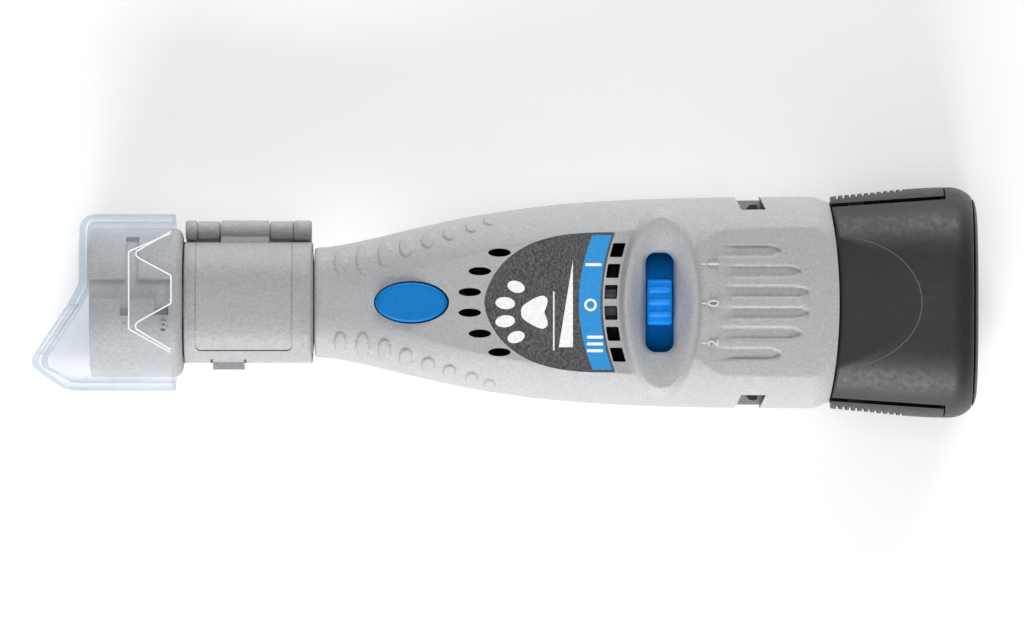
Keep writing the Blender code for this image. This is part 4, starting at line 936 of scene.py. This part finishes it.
def switch_slider():
    reach = math.radians(60)
    arcs = [math.pi / 2 - reach + 2 * reach * i / 80 for i in range(81)]
    outline = [(13 * math.cos(a), AXIS_Z + 13 * math.sin(a)) for a in arcs]
    outline += [(12 * math.cos(a), AXIS_Z + 12 * math.sin(a)) for a in reversed(arcs)]
    # the shutter and its lug take the darker blue: painted shade of the slot
    shutter = prism("shutter", outline, 27.3, 33.9, SHADED_SHUTTER_BLUE, "X")
    rings = []
    for x, inset in ((28.2, 0.7), (28.24, 0.45), (28.35, 0.25), (28.55, 0.1), (28.85, 0.0), (32.35, 0.0),
                     (32.65, 0.1), (32.85, 0.25), (32.96, 0.45), (33.0, 0.7)):
        ring = []
        half = 4.5 - inset * 0.6
        for i in range(121):
            y = half * math.cos(math.pi * i / 120)
            dip = inset + 0.25 * smoothstep(np.array((abs(x - 30.6) - 1.4) / 1.0))
            ring.append((x, y, AXIS_Z + knob_top(y * 4.5 / half) - dip))
        ring += [(x, -half, AXIS_Z + 12.3), (x, half, AXIS_Z + 12.3)]
        rings.append(ring)
    knob = rings_solid("knob", rings, KNOB_BLUE, 50)
    lug = block("shutter_lug", (29.4, -0.9, AXIS_Z + 8.9), (31.8, 0.9, AXIS_Z + 12.2), SHADED_SHUTTER_BLUE)
    carve(shutter, [lug, knob], "UNION")
    shutter.name = "slider"
    return settle(shutter, "switch_slider", "blue", "switch_slider")


# ---- nail guard ---------------------------------------------------------------------------------
def arc_loop(x, outer, inner, side):
    """Half of a tube's section: superellipse outside, round inside."""
    turn = 0.0 if side > 0 else math.pi
    floor = GAP / 2
    ring = []
    for a in turn + np.linspace(0.0, math.pi, 97):
        y, z = superellipse(outer, outer, 2.4, np.array(a))
        ring.append((x, float(y), AXIS_Z + side * max(floor, side * float(z))))
    for a in turn + np.linspace(math.pi, 0.0, 65):
        ring.append((x, inner * math.cos(a), AXIS_Z + side * max(floor, side * inner * math.sin(a))))
    return ring


def clamp_half(name, side, x0, x1):
    places = ((x0, 0.35), (x0 + 0.12, 0.12), (x0 + 0.35, 0.0),
              (x1 - 0.35, 0.0), (x1 - 0.12, 0.12), (x1, 0.35))
    rings = [arc_loop(x, 12.1 - inset, 10.6, side) for x, inset in places]
    return rings_solid(name, rings, GUARD)


def bent_patch(name, x0, x1, y0, y1, floor):
    """Everything outside the floor radius over the top of the sleeve, between two X and two Y."""
    outer = 16.1
    start, end = math.acos(y1 / floor), math.acos(y0 / floor)
    arcs = [start + (end - start) * i / 24 for i in range(25)]
    outline = [(outer * math.cos(a), AXIS_Z + outer * math.sin(a)) for a in arcs]
    outline += [(floor * math.cos(a), AXIS_Z + floor * math.sin(a)) for a in reversed(arcs)]
    return prism(name, outline, x0, x1, GUARD, "X")


def guard_body():
    body = turned(
        "sleeve",
        (
            (-82.8, 13.3), (-82.8, 14.6), (-82.7, 14.82), (-82.5, 14.9), (-66.2, 14.9), (-65.6, 14.78),
            (-65.0, 14.4), (-64.6, 13.8), (-64.4, 13.2), (-64.4, 10.9), (-66.2, 10.9), (-66.2, 13.3),
        ),
        GUARD,
        160,
    )
    parts = [clamp_half("lower_clamp", -1, -65.0, -38.5)]
    parts.append(block("hinge_shelf", (-63.0, 11.0, AXIS_Z - 5.8), (-39.4, 13.4, AXIS_Z - 1.5), GUARD))
    for i, (near, far) in enumerate(((-63.9, -61.6), (-42.4, -38.7))):
        low, high = (near + 0.1, 10.9, AXIS_Z - 6), (far - 0.1, 15.3, AXIS_Z - 0.25)
        parts.append(block(f"hinge_arm_{i}", low, high, GUARD))
        rim = ((near, 1.65), (near + 0.1, 1.88), (near + 0.35, 2.0),
               (far - 0.35, 2.0), (far - 0.1, 1.88), (far, 1.65))
        rings = [[(x, y, z) for y, z in ellipse(GUARD_HINGE, (r, r), 64)] for x, r in rim]
        parts.append(rings_solid(f"knuckle_{i}", rings, GUARD))
    carve(body, parts, "UNION")
    cutters = [prism("pin_hole", ellipse(GUARD_HINGE, (1.6, 1.6), 48), -64.2, -30, GUARD, "X")]
    cutters.append(bent_patch("track", -84.0, -66.7, 0.7, 4.5, 14.0))
    slots = ((-75.75, -2.5, 1.9, 0.85), (-68.4, -2.4, 2.0, 1.4), (-74.3, 3.0, 12.2, 1.3))
    for i, (x, y0, y1, half) in enumerate(slots):
        cutters.append(bent_patch(f"slot_{i}", x - half, x + half, y0, y1, 13.95))
    carve(body, cutters)
    body.name = "guard_shell"
    return settle(body, "tool_body", "guard_grey", "guard_body")


def guard_digits():
    """Raised digits beside the sleeve's slots, laid on its round."""
    pieces = []
    sleeve, reach = 14.9, 14.95
    for digit, x, y in (("1", -75.8, -5.4), ("3", -67.9, -4.9)):
        tilt = math.asin(y / sleeve)
        place = (x, reach * math.sin(tilt), AXIS_Z + reach * math.cos(tilt))
        pieces.append(raised_digit(digit, 3.4, 0.0, place, (-tilt, 0.0, 0.0), GUARD))
    return settle(joined("guard_digits", pieces), "tool_body", "guard_grey")


def hinge_pin():
    """The pin, thin inside the knuckles and the strap, and thick in the open between them."""
    start, end = GUARD_PIN_X
    thin, thick = 1.45, 1.85
    profile = ((start, 0.02), (start, 1.25), (start + 0.15, thin), (-61.3, thin), (-61.3, thick),
               (-57.2, thick), (-57.1, thin), (-46.9, thin), (-46.8, thick), (-42.5, thick), (-42.5, thin),
               (end - 0.15, thin), (end, 1.25), (end, 0.02))
    pin = turned("hinge_bar", profile, GUARD, 48, y=GUARD_HINGE[0], z=GUARD_HINGE[1])
    return settle(pin, "tool_body", "guard_grey", "guard_hinge_pin")


def guard_door():
    door = clamp_half("door", 1, -64.1, -38.7)
    z = GUARD_HINGE[1]
    barrel = prism("barrel", ellipse(GUARD_HINGE, (2.0, 2.0), 64), *STRAP_X, GUARD, "X")
    strap = ((11.2, AXIS_Z + 0.3), (12.6, AXIS_Z + 0.3), (12.7, z + 0.4),
             (13.2, z + 1.7), (12.4, z + 1.75), (11.2, z + 1.8))
    plate = prism("strap", strap, *STRAP_X, GUARD, "X")
    tab_root = block("tab_root", (-58.4, -13.4, AXIS_Z + 0.15), (-52.2, -11.2, AXIS_Z + 3.0), GUARD)
    tab_outline = ((-13.4, AXIS_Z - 3.4), (-13.2, AXIS_Z - 4.0), (-12.5, AXIS_Z - 4.0),
                   (-12.5, AXIS_Z + 1.4), (-13.4, AXIS_Z + 1.4))
    tab = prism("tab", tab_outline, -58.4, -52.2, GUARD, "X")
    carve(door, [barrel, plate, tab_root, tab], "UNION")
    cutters = [prism("barrel_hole", ellipse(GUARD_HINGE, (1.65, 1.65), 64), -58.0, -46.0, GUARD, "X")]
    for i, x in enumerate((-58.9, -52.2)):
        cutters.append(block(f"tab_notch_{i}", (x, -13.0, AXIS_Z - 1), (x + 0.5, -11.35, AXIS_Z + 12), GUARD))
    outer = rounded((-61.9, -9.7), (-42.4, 12.6), 1.2, 6)
    inner = rounded((-61.6, -9.4), (-42.7, 12.6), 0.95, 6)
    groove = prism("groove", outer, AXIS_Z + 3, AXIS_Z + 14, GUARD)
    carve(groove, [prism("groove_inner", inner, AXIS_Z + 2, AXIS_Z + 15, GUARD)])
    skin_rings = [arc_loop(x, 11.88, 9.0, 1) for x in (-66.0, -37.0)]
    carve(groove, [rings_solid("groove_floor", skin_rings, GUARD)])
    cutters.append(groove)
    carve(door, cutters)
    door.name = "door_shell"
    return settle(door, "guard_door", "guard_grey", "guard_door")


# ---- cover --------------------------------------------------------------------------------------
def arc_points(centre, radius, start, end, steps):
    made = []
    for i in range(steps + 1):
        a = math.radians(start + (end - start) * i / steps)
        made.append((centre[0] + radius * math.cos(a), centre[1] + radius * math.sin(a)))
    return made


def cover_outline(inset, rear):
    half = 17.6 - inset
    corner = 3.0 - inset
    front = -84.6 + inset
    tip_x = -94.0 + inset * 1.2
    outline = [(rear, -half), (rear, half)]
    outline += arc_points((front + corner, half - corner), corner, 90, 175, 14)
    outline += [(front - step, y - inset * 0.3) for step, y in ((0.1, 4.0), (0.3, 3.3), (0.8, 2.4))]
    outline += [(-87.0 + inset, -0.6 - inset * 0.3)]
    outline += arc_points((tip_x + 2.2, -11.7), 2.2, 145, 215, 12)
    outline += [(-89.2 + inset * 0.5, -half + 1.4), (-88.2 + inset * 0.5, -half + 0.75)]
    outline += [(-86.6, -half + 0.2), (-84.4, -half)]
    return outline


def cover_form(name, inset, rear):
    form = prism(name, cover_outline(inset, rear), AXIS_Z - 25, AXIS_Z + 25, CLEAR)
    across = []
    for x in (-100, -60):
        ring = []
        for k in range(144):
            y, z = superellipse(17.6 - inset, AXIS_Z - inset, 4.5, np.array(2 * math.pi * k / 144))
            ring.append((x, float(y), AXIS_Z + float(z)))
        across.append(ring)
    return carve(form, [rings_solid(name + "_across", across, CLEAR)], "INTERSECT")


def clear_cover():
    cover = cover_form("cover_shell", 0.0, -66.2)
    cutters = [cover_form("cover_hollow", 1.5, -61.2)]
    port = [(y - 5.4, z) for y, z in ellipse((0, AXIS_Z), (5.0, 6.0), 72)]
    cutters.append(prism("nail_port", port, -100, -84.9, CLEAR, "X"))
    upper = ((-73.2, 9.9), (-73.0, 9.3), (-72.6, 9.0), (-66.4, 5.6), (-65.2, 5.6), (-65.2, 14.8))
    lower = ((-73.2, -5.1), (-65.2, -10.4), (-65.2, -0.4), (-66.4, -0.4), (-72.8, -4.0), (-73.15, -4.5))
    cutters += [prism(name, outline, AXIS_Z + 10, AXIS_Z + 25, CLEAR)
                for name, outline in (("notch_upper", upper), ("notch_lower", lower))]
    fold = block("fold_line", (-74.95, -5.3, AXIS_Z + 18.3), (-74.7, 9.9, AXIS_Z + 20), CLEAR)
    carve(cover, cutters + [fold])
    peg_rings = [
        [(x, y, AXIS_Z + level) for x, y in ellipse((-68.8, 2.6), (radius, radius), 64)]
        for level, radius in ((14.35, 1.5), (14.45, 1.6), (17.2, 1.6))
    ]
    carve(cover, [rings_solid("peg", peg_rings, CLEAR)], "UNION")
    cover.name = "cover"
    cover.data.set_sharp_from_angle(angle=math.radians(35))
    return settle(cover, "clear_cover", "clear", "clear_cover")


def cover_top(y):
    return AXIS_Z + 18.5 * (1 - (abs(y) / 17.6) ** 4.5) ** (1 / 4.5)


def painted_edge_highlights():
    """Thin near-white gloss ridges on the cover's top, along its fold and around the tongue between the
    notches: painted highlight lines.
    """
    paths = (
        ((-66.5, 13.7), (-74.75, 10.1), (-74.75, -5.3), (-66.5, -9.9)),
        ((-66.4, 14.1), (-73.2, 10.15), (-73.35, 9.4), (-72.75, 8.8), (-66.35, 5.35), (-66.35, -0.2),
         (-72.9, -3.85), (-73.4, -4.5), (-73.3, -5.25), (-66.4, -9.4)),
    )
    pieces = []
    for i, path in enumerate(paths):
        for k, ((x0, y0), (x1, y1)) in enumerate(zip(path, path[1:])):
            length = math.hypot(x1 - x0, y1 - y0)
            nx, ny = -(y1 - y0) / length * 0.13, (x1 - x0) / length * 0.13
            rings = []
            steps = max(1, int(length / 1.0))
            for n in range(steps + 1):
                x, y = x0 + (x1 - x0) * n / steps, y0 + (y1 - y0) * n / steps
                rings.append(ridge_ring(x, y, (nx, ny), cover_top(y) + 0.04, 0.4))
            pieces.append(rings_solid(f"edge_{i}_{k}", rings, CLEAR_EDGE_HIGHLIGHT))
    return settle(joined("cover_edge_highlights", pieces), "clear_cover", "clear")


# ---- spindle ------------------------------------------------------------------------------------
def turned_parts():
    band = turned(
        "band",
        ((-81.6, 5.55), (-81.6, 6.2), (-81.5, 6.35), (-69.0, 6.35), (-68.9, 6.2), (-68.9, 5.55)),
        GRIT,
        192,
    )
    settle(band, "spindle", "abrasive", "sanding_band")
    rubber = turned(
        "rubber_drum",
        ((-81.6, 2.2), (-81.6, 5.0), (-81.45, 5.25), (-69.05, 5.25), (-68.9, 5.0), (-68.9, 2.2)),
        RUBBER,
    )
    settle(rubber, "spindle", "rubber", "drum_rubber")
    mandrel = turned(
        "mandrel_rod",
        ((-81.2, 0), (-81.2, 1.9), (-68.6, 1.9), (-68.6, 4.1), (-68.4, 4.3), (-67.8, 4.3), (-67.6, 4.1),
         (-67.0, 1.6), (-54.2, 1.6), (-54.0, 1.4), (-54.0, 0)),
        STEEL,
    )
    settle(mandrel, "spindle", "steel", "mandrel")
    head = turned("screw_cap", ((-82.7, 0), (-82.7, 2.7), (-82.45, 3.0), (-81.9, 3.0), (-81.9, 0)), STEEL)
    carve(head, [block("screw_slot", (-84, -4, AXIS_Z - 0.4), (-82.3, 4, AXIS_Z + 0.4), STEEL)])
    head.name = "mandrel_head"
    settle(head, "spindle", "steel", "mandrel_screw")
    collet_nut()


def collet_nut():
    nut = turned(
        "nut",
        ((-66.4, 2.1), (-66.4, 3.7), (-66.2, 3.95), (-63.9, 5.35), (-63.6, 5.5), (-54.9, 5.5), (-54.8, 5.4),
         (-54.8, 4.5), (-61.4, 4.5), (-64.2, 3.0), (-64.2, 2.1)),
        STEEL,
    )
    flats = []
    for i in range(6):
        a = 2 * math.pi * i / 6
        c, s = math.cos(a), math.sin(a)
        outline = [(5.05 * c - w * s, 5.05 * s + w * c) for w in (-4, 4)]
        outline += [(9 * c - w * s, 9 * s + w * c) for w in (4, -4)]
        placed = [(y, AXIS_Z + z) for y, z in outline]
        flats.append(prism(f"flat_{i}", placed, -62.8, -57.0, STEEL, "X"))
    carve(nut, flats)
    nut.name = "collet_nut_turned"
    return settle(nut, "spindle", "steel", "collet_nut")


def nose_cap():
    """The nose piece behind the guard, with grip grooves round its rear."""
    profile = [(-57.0, 6.3), (-57.0, 8.5), (-56.8, 8.7), (-55.2, 10.1), (-54.8, 10.3)]
    for i in range(5):
        x = -47.0 + 1.5 * i
        profile += [(x, 10.3), (x + 0.2, 10.05), (x + 0.6, 10.05), (x + 0.8, 10.3)]
    profile += [(-38.6, 10.3), (-38.4, 10.1), (-38.4, 7.9), (-47.5, 7.9), (-47.5, 6.3)]
    return settle(turned("nose_shell", profile, NECK, 128), "tool_body", "housing", "nose_cap")


# ---- battery ------------------------------------------------------------------------------------
def pack_half(x):
    flare = 21.15 + 1.89 * math.sin(math.pi / 2 * min(1.0, (x - 66.8) / 22))
    past = max(0.0, x - 88.6) / 5.8
    return flare - 5.6 * (1 - math.sqrt(max(0.0, 1 - past * past)))


def pack_loop(x, inset=0.0):
    """Section of the pack: flat underneath, with the sloping and slightly crowned face on top."""
    width = pack_half(x) - inset
    a = np.linspace(0.0, 2 * math.pi, 440, endpoint=False)
    y, z = superellipse(width, width - 3.0, 2.5, a)
    curve = 0.0085 * max(0.0, 1 - (x - 66.8) / 12)
    top = 17.2 - inset + 0.17 * (x - 66.8) - curve * y**2
    z = np.where(z > 0, soft_min(z, top, 0.1), z)
    z = np.maximum(z, -AXIS_Z + inset * 0.6)
    spot = bowed(np.full_like(y, x), y, 66.8, 7.0)
    return [(float(p), float(q), float(AXIS_Z + r)) for p, q, r in zip(spot, y, z)]


def pack_form(name, x0, x1, front=0.0, rear=0.0):
    """The pack's outer form between two X, with its two end edges rounded."""
    places = [(x0, front + 0.0), (x0 + 0.12 * (front > 0), front * 0.4)] if front else []
    inner = np.linspace(x0 + (0.3 if front else 0), x1 - (0.3 if rear else 0), max(4, int((x1 - x0) / 0.45)))
    places += [(float(x), 0.0) for x in inner]
    places += [(x1 - 0.12, rear * 0.4), (x1, rear)] if rear else []
    return rings_solid(name, [pack_loop(x, inset) for x, inset in places], BATTERY, 45)


def box_loop(x, half):
    a = np.linspace(0.0, 2 * math.pi, 96, endpoint=False)
    y, z = superellipse(half, half, 4, a)
    return [(x, float(p), float(AXIS_Z + q)) for p, q in zip(y, z)]


def lever_slice(name, sign, slot, x0, x1):
    """Everything outside the slanted slot plane on one side and over the case's sill, between x0 and x1."""
    slant = 1.7 / 24.9
    inner = [(x, sign * (19.0 + slant * (x - 65.3) + slot)) for x in (x0, x1)]
    low = AXIS_Z - 7.5 + (GAP if slot else 0.0)
    return prism(name, [*inner, (x1, sign * 30), (x0, sign * 30)], low, 60, BATTERY)


def sides(sign, low, high):
    return sorted((sign * low, sign * high))


def lever_pin(sign):
    """Plan of a lever's pin."""
    return ellipse((LEVER_PIN[0], sign * LEVER_PIN[1]), (0.6, 0.6), 32)


def battery_case():
    case = pack_form("case", 66.8, 93.0, 0.22, 0.12)
    neck = rings_solid("neck", [
        box_loop(x, half) for x, half in ((46.5, 15.1), (46.7, 15.4), (47.0, 15.5), (67.8, 15.5))
    ], BATTERY)
    carve(case, [neck], "UNION")
    cutters = [rings_solid("cavity", [box_loop(x, 14.65) for x in (47.7, 95)], BATTERY)]
    for sign in (1, -1):
        tag = "left" if sign > 0 else "right"
        cutters.append(lever_slice("lever_bay_" + tag, sign, 0.0, 60, 87.6))
        y = sides(sign, 20.0, 30)
        low, high = (86.4, y[0], AXIS_Z - 5.0), (90.6, y[1], AXIS_Z + 5.0)
        cutters.append(block("tongue_bay_" + tag, low, high, BATTERY))
        y = sides(sign, 15.75, 24)
        low, high = (60, y[0], AXIS_Z - 6.5), (72.2, y[1], AXIS_Z + 6.5)
        cutters.append(block("arm_channel_" + tag, low, high, BATTERY))
        y = sides(sign, 16.2, 24)
        low, high = (74.4, y[0], AXIS_Z - 2.4), (79.2, y[1], AXIS_Z + 2.4)
        cutters.append(block("spring_bay_" + tag, low, high, BATTERY))
        cutters.append(prism("pin_bore_" + tag, lever_pin(sign), AXIS_Z - 7.4, AXIS_Z + 7.4, BATTERY))
    carve(case, cutters)
    case.name = "pack_case"
    case.data.set_sharp_from_angle(angle=SMOOTH)
    return settle(case, "battery_pack", "battery_black", "battery_case")


def end_cap():
    places = [(93.3, 0.15), (93.4, 0.05), (93.5, 0.05), (93.7, 0.15), (93.85, 0.4), (93.95, 0.8), (94.0, 1.4)]
    rings = [pack_loop(x, inset) for x, inset in places]
    cap = rings_solid("pack_cap", rings, BATTERY, 50)
    return settle(cap, "battery_pack", "battery_black", "battery_end_cap")


def face_line():
    """The raised edge where the pack's flat face runs out, drawn as half an ellipse on its top, in a paler
    grey that is a painted highlight along it.
    """
    rings = []
    for i in range(121):
        angle = math.radians(-81.0 + 162.0 * i / 120)
        x, y = 65.6 + 17.0 * math.cos(angle), 13.05 * math.sin(angle)
        out = Vector((13.05 * math.cos(angle), 17.0 * math.sin(angle))).normalized() * 0.12
        section = np.array(pack_loop(x))
        section = section[section[:, 2] > AXIS_Z]
        section = section[np.argsort(section[:, 1])]
        top = float(np.interp(y, section[:, 1], section[:, 2])) + 0.09
        rings.append(ridge_ring(x, y, out, top, 0.5))
    return settle(rings_solid("pack_face_line", rings, RIDGE_HIGHLIGHT), "battery_pack", "battery_black")


def latch_lever(side, sign):
    name = "lever_" + side
    lever = pack_form(name, 67.0, 90.2, 0.2, 0.0)
    outline = lever_slice(name + "_slice", sign, 0.72, 60, 87.3)
    y = sides(sign, 20.3, 30)
    tongue = block(name + "_tongue", (86.7, y[0], AXIS_Z - 4.7), (95, y[1], AXIS_Z + 4.7), BATTERY)
    carve(outline, [tongue], "UNION")
    carve(lever, [outline], "INTERSECT")
    ribs_cut = []
    for i in range(11):
        x = 66.0 + 1.28 * i
        low, high = sides(sign, float(pack_half(x)) - 0.42, 30)
        groove = ((x, low), (x + 0.62, low), (x + 0.62, high), (x, high))
        ribs_cut.append(prism(f"{name}_groove_{i}", groove, AXIS_Z - 6.2, AXIS_Z + 9.5, BATTERY))
    carve(lever, ribs_cut)
    arm = sides(sign, 16.8, 18.0)
    jog = sides(sign, 16.8, 20.6)
    low, high = AXIS_Z - 6.0, AXIS_Z + 6.0
    hook = ((47.6, 17.6), (47.8, 18.4), (48.8, 19.5), (50.1, 19.5), (50.4, 18.4), (51.3, 17.6))
    parts = [
        block(name + "_jog", (68.4, jog[0], low), (71.4, jog[1], high), BATTERY),
        block(name + "_arm", (47.6, arm[0], low), (70.0, arm[1], high), BATTERY),
        prism(name + "_hook", [(x, sign * y) for x, y in hook], low + 0.6, high - 0.6, BATTERY),
    ]
    carve(lever, parts, "UNION")
    carve(lever, [prism(name + "_pin_hole", lever_pin(sign), -1, 60, BATTERY)])
    lever.name = "latch_" + side
    lever.data.set_sharp_from_angle(angle=SMOOTH)
    return settle(lever, "latch_lever_" + side, "battery_black", "latch_lever_" + side)


# ---- parts kept as they are ---------------------------------------------------------------------
KEPT = {
    "steel": STEEL, "bronze": BRONZE, "copper": COPPER, "magnet": MAGNET, "rubber": RUBBER,
    "inner_black": INNER, "lead_red": RED_LEAD, "lead_black": BLACK_LEAD, "cell_wrap": CELL_WRAP,
    "housing": HOUSING, "housing_dark": INNER, "guard_grey": GUARD, "label": LABEL, "blue": BLUE,
    "clear": CLEAR, "battery_black": BATTERY, "abrasive": GRIT,
}
KEPT_NODES = {"armature": COPPER, "commutator": COPPER, "motor_can": ZINC}


def dress_kept_nodes():
    """Gives the inner parts that keep their own meshes a finish from the same set."""
    slots = {part["node"]: part.get("material_slot", "") for part in frame["record"]["subparts"]}
    for name, node in NODES.items():
        finish = KEPT_NODES.get(name) or KEPT.get(slots.get(name), INNER)
        node.data.materials.clear()
        node.data.materials.append(finish)


# ---- surroundings -------------------------------------------------------------------------------
def floor():
    sheet = add_mesh("floor", [(x, y, 0) for x, y in ((-3e3, -3e3), (3e3, -3e3), (3e3, 3e3), (-3e3, 3e3))],
                     [(0, 1, 2, 3)], BACKDROP, smooth=False)


def area_light(name, place, aim, size, power):
    light = bpy.data.lights.new(name, "AREA")
    light.shape = "RECTANGLE"
    light.size, light.size_y = size
    light.energy = power
    made = bpy.data.objects.new(name, light)
    made.location = place
    made.rotation_euler = (Vector(aim) - Vector(place)).to_track_quat("-Z", "Y").to_euler()
    bpy.context.scene.collection.objects.link(made)


def lights():
    world = bpy.data.worlds.new("studio")
    world.use_nodes = True
    background = world.node_tree.nodes["Background"]
    background.inputs["Color"].default_value = (1.0, 1.0, 1.0, 1.0)
    background.inputs["Strength"].default_value = 0.24
    bpy.context.scene.world = world
    area_light("key", (-0.06, -0.70, 0.30), (0.0, 0.0, 0.02), (0.7, 0.34), 7.6)
    area_light("fill", (0.10, 0.70, 0.30), (0.0, 0.0, 0.02), (0.7, 0.34), 5.2)
    area_light("top", (0.0, 0.0, 0.95), (0.0, 0.0, 0.0), (0.45, 0.45), 1.2)
    bpy.context.scene.view_settings.view_transform = "Standard"


def camera():
    lens = bpy.data.cameras.new("camera")
    lens.lens = 400
    lens.clip_end = 20
    lens.sensor_width = 36
    made = bpy.data.objects.new("camera", lens)
    made.location = (0.0013, -0.0039, 2.294)
    bpy.context.scene.collection.objects.link(made)
    bpy.context.scene.camera = made


dress_kept_nodes()
housing_front()
housing_back()
housing_screws()
label_plate()
raised_marks()
lock_button()
switch_slider()
guard_body()
guard_digits()
hinge_pin()
guard_door()
clear_cover()
painted_edge_highlights()
turned_parts()
nose_cap()
battery_case()
face_line()
end_cap()
for SIDE, SIGN in (("left", 1), ("right", -1)):
    latch_lever(SIDE, SIGN)
floor()
lights()
camera()
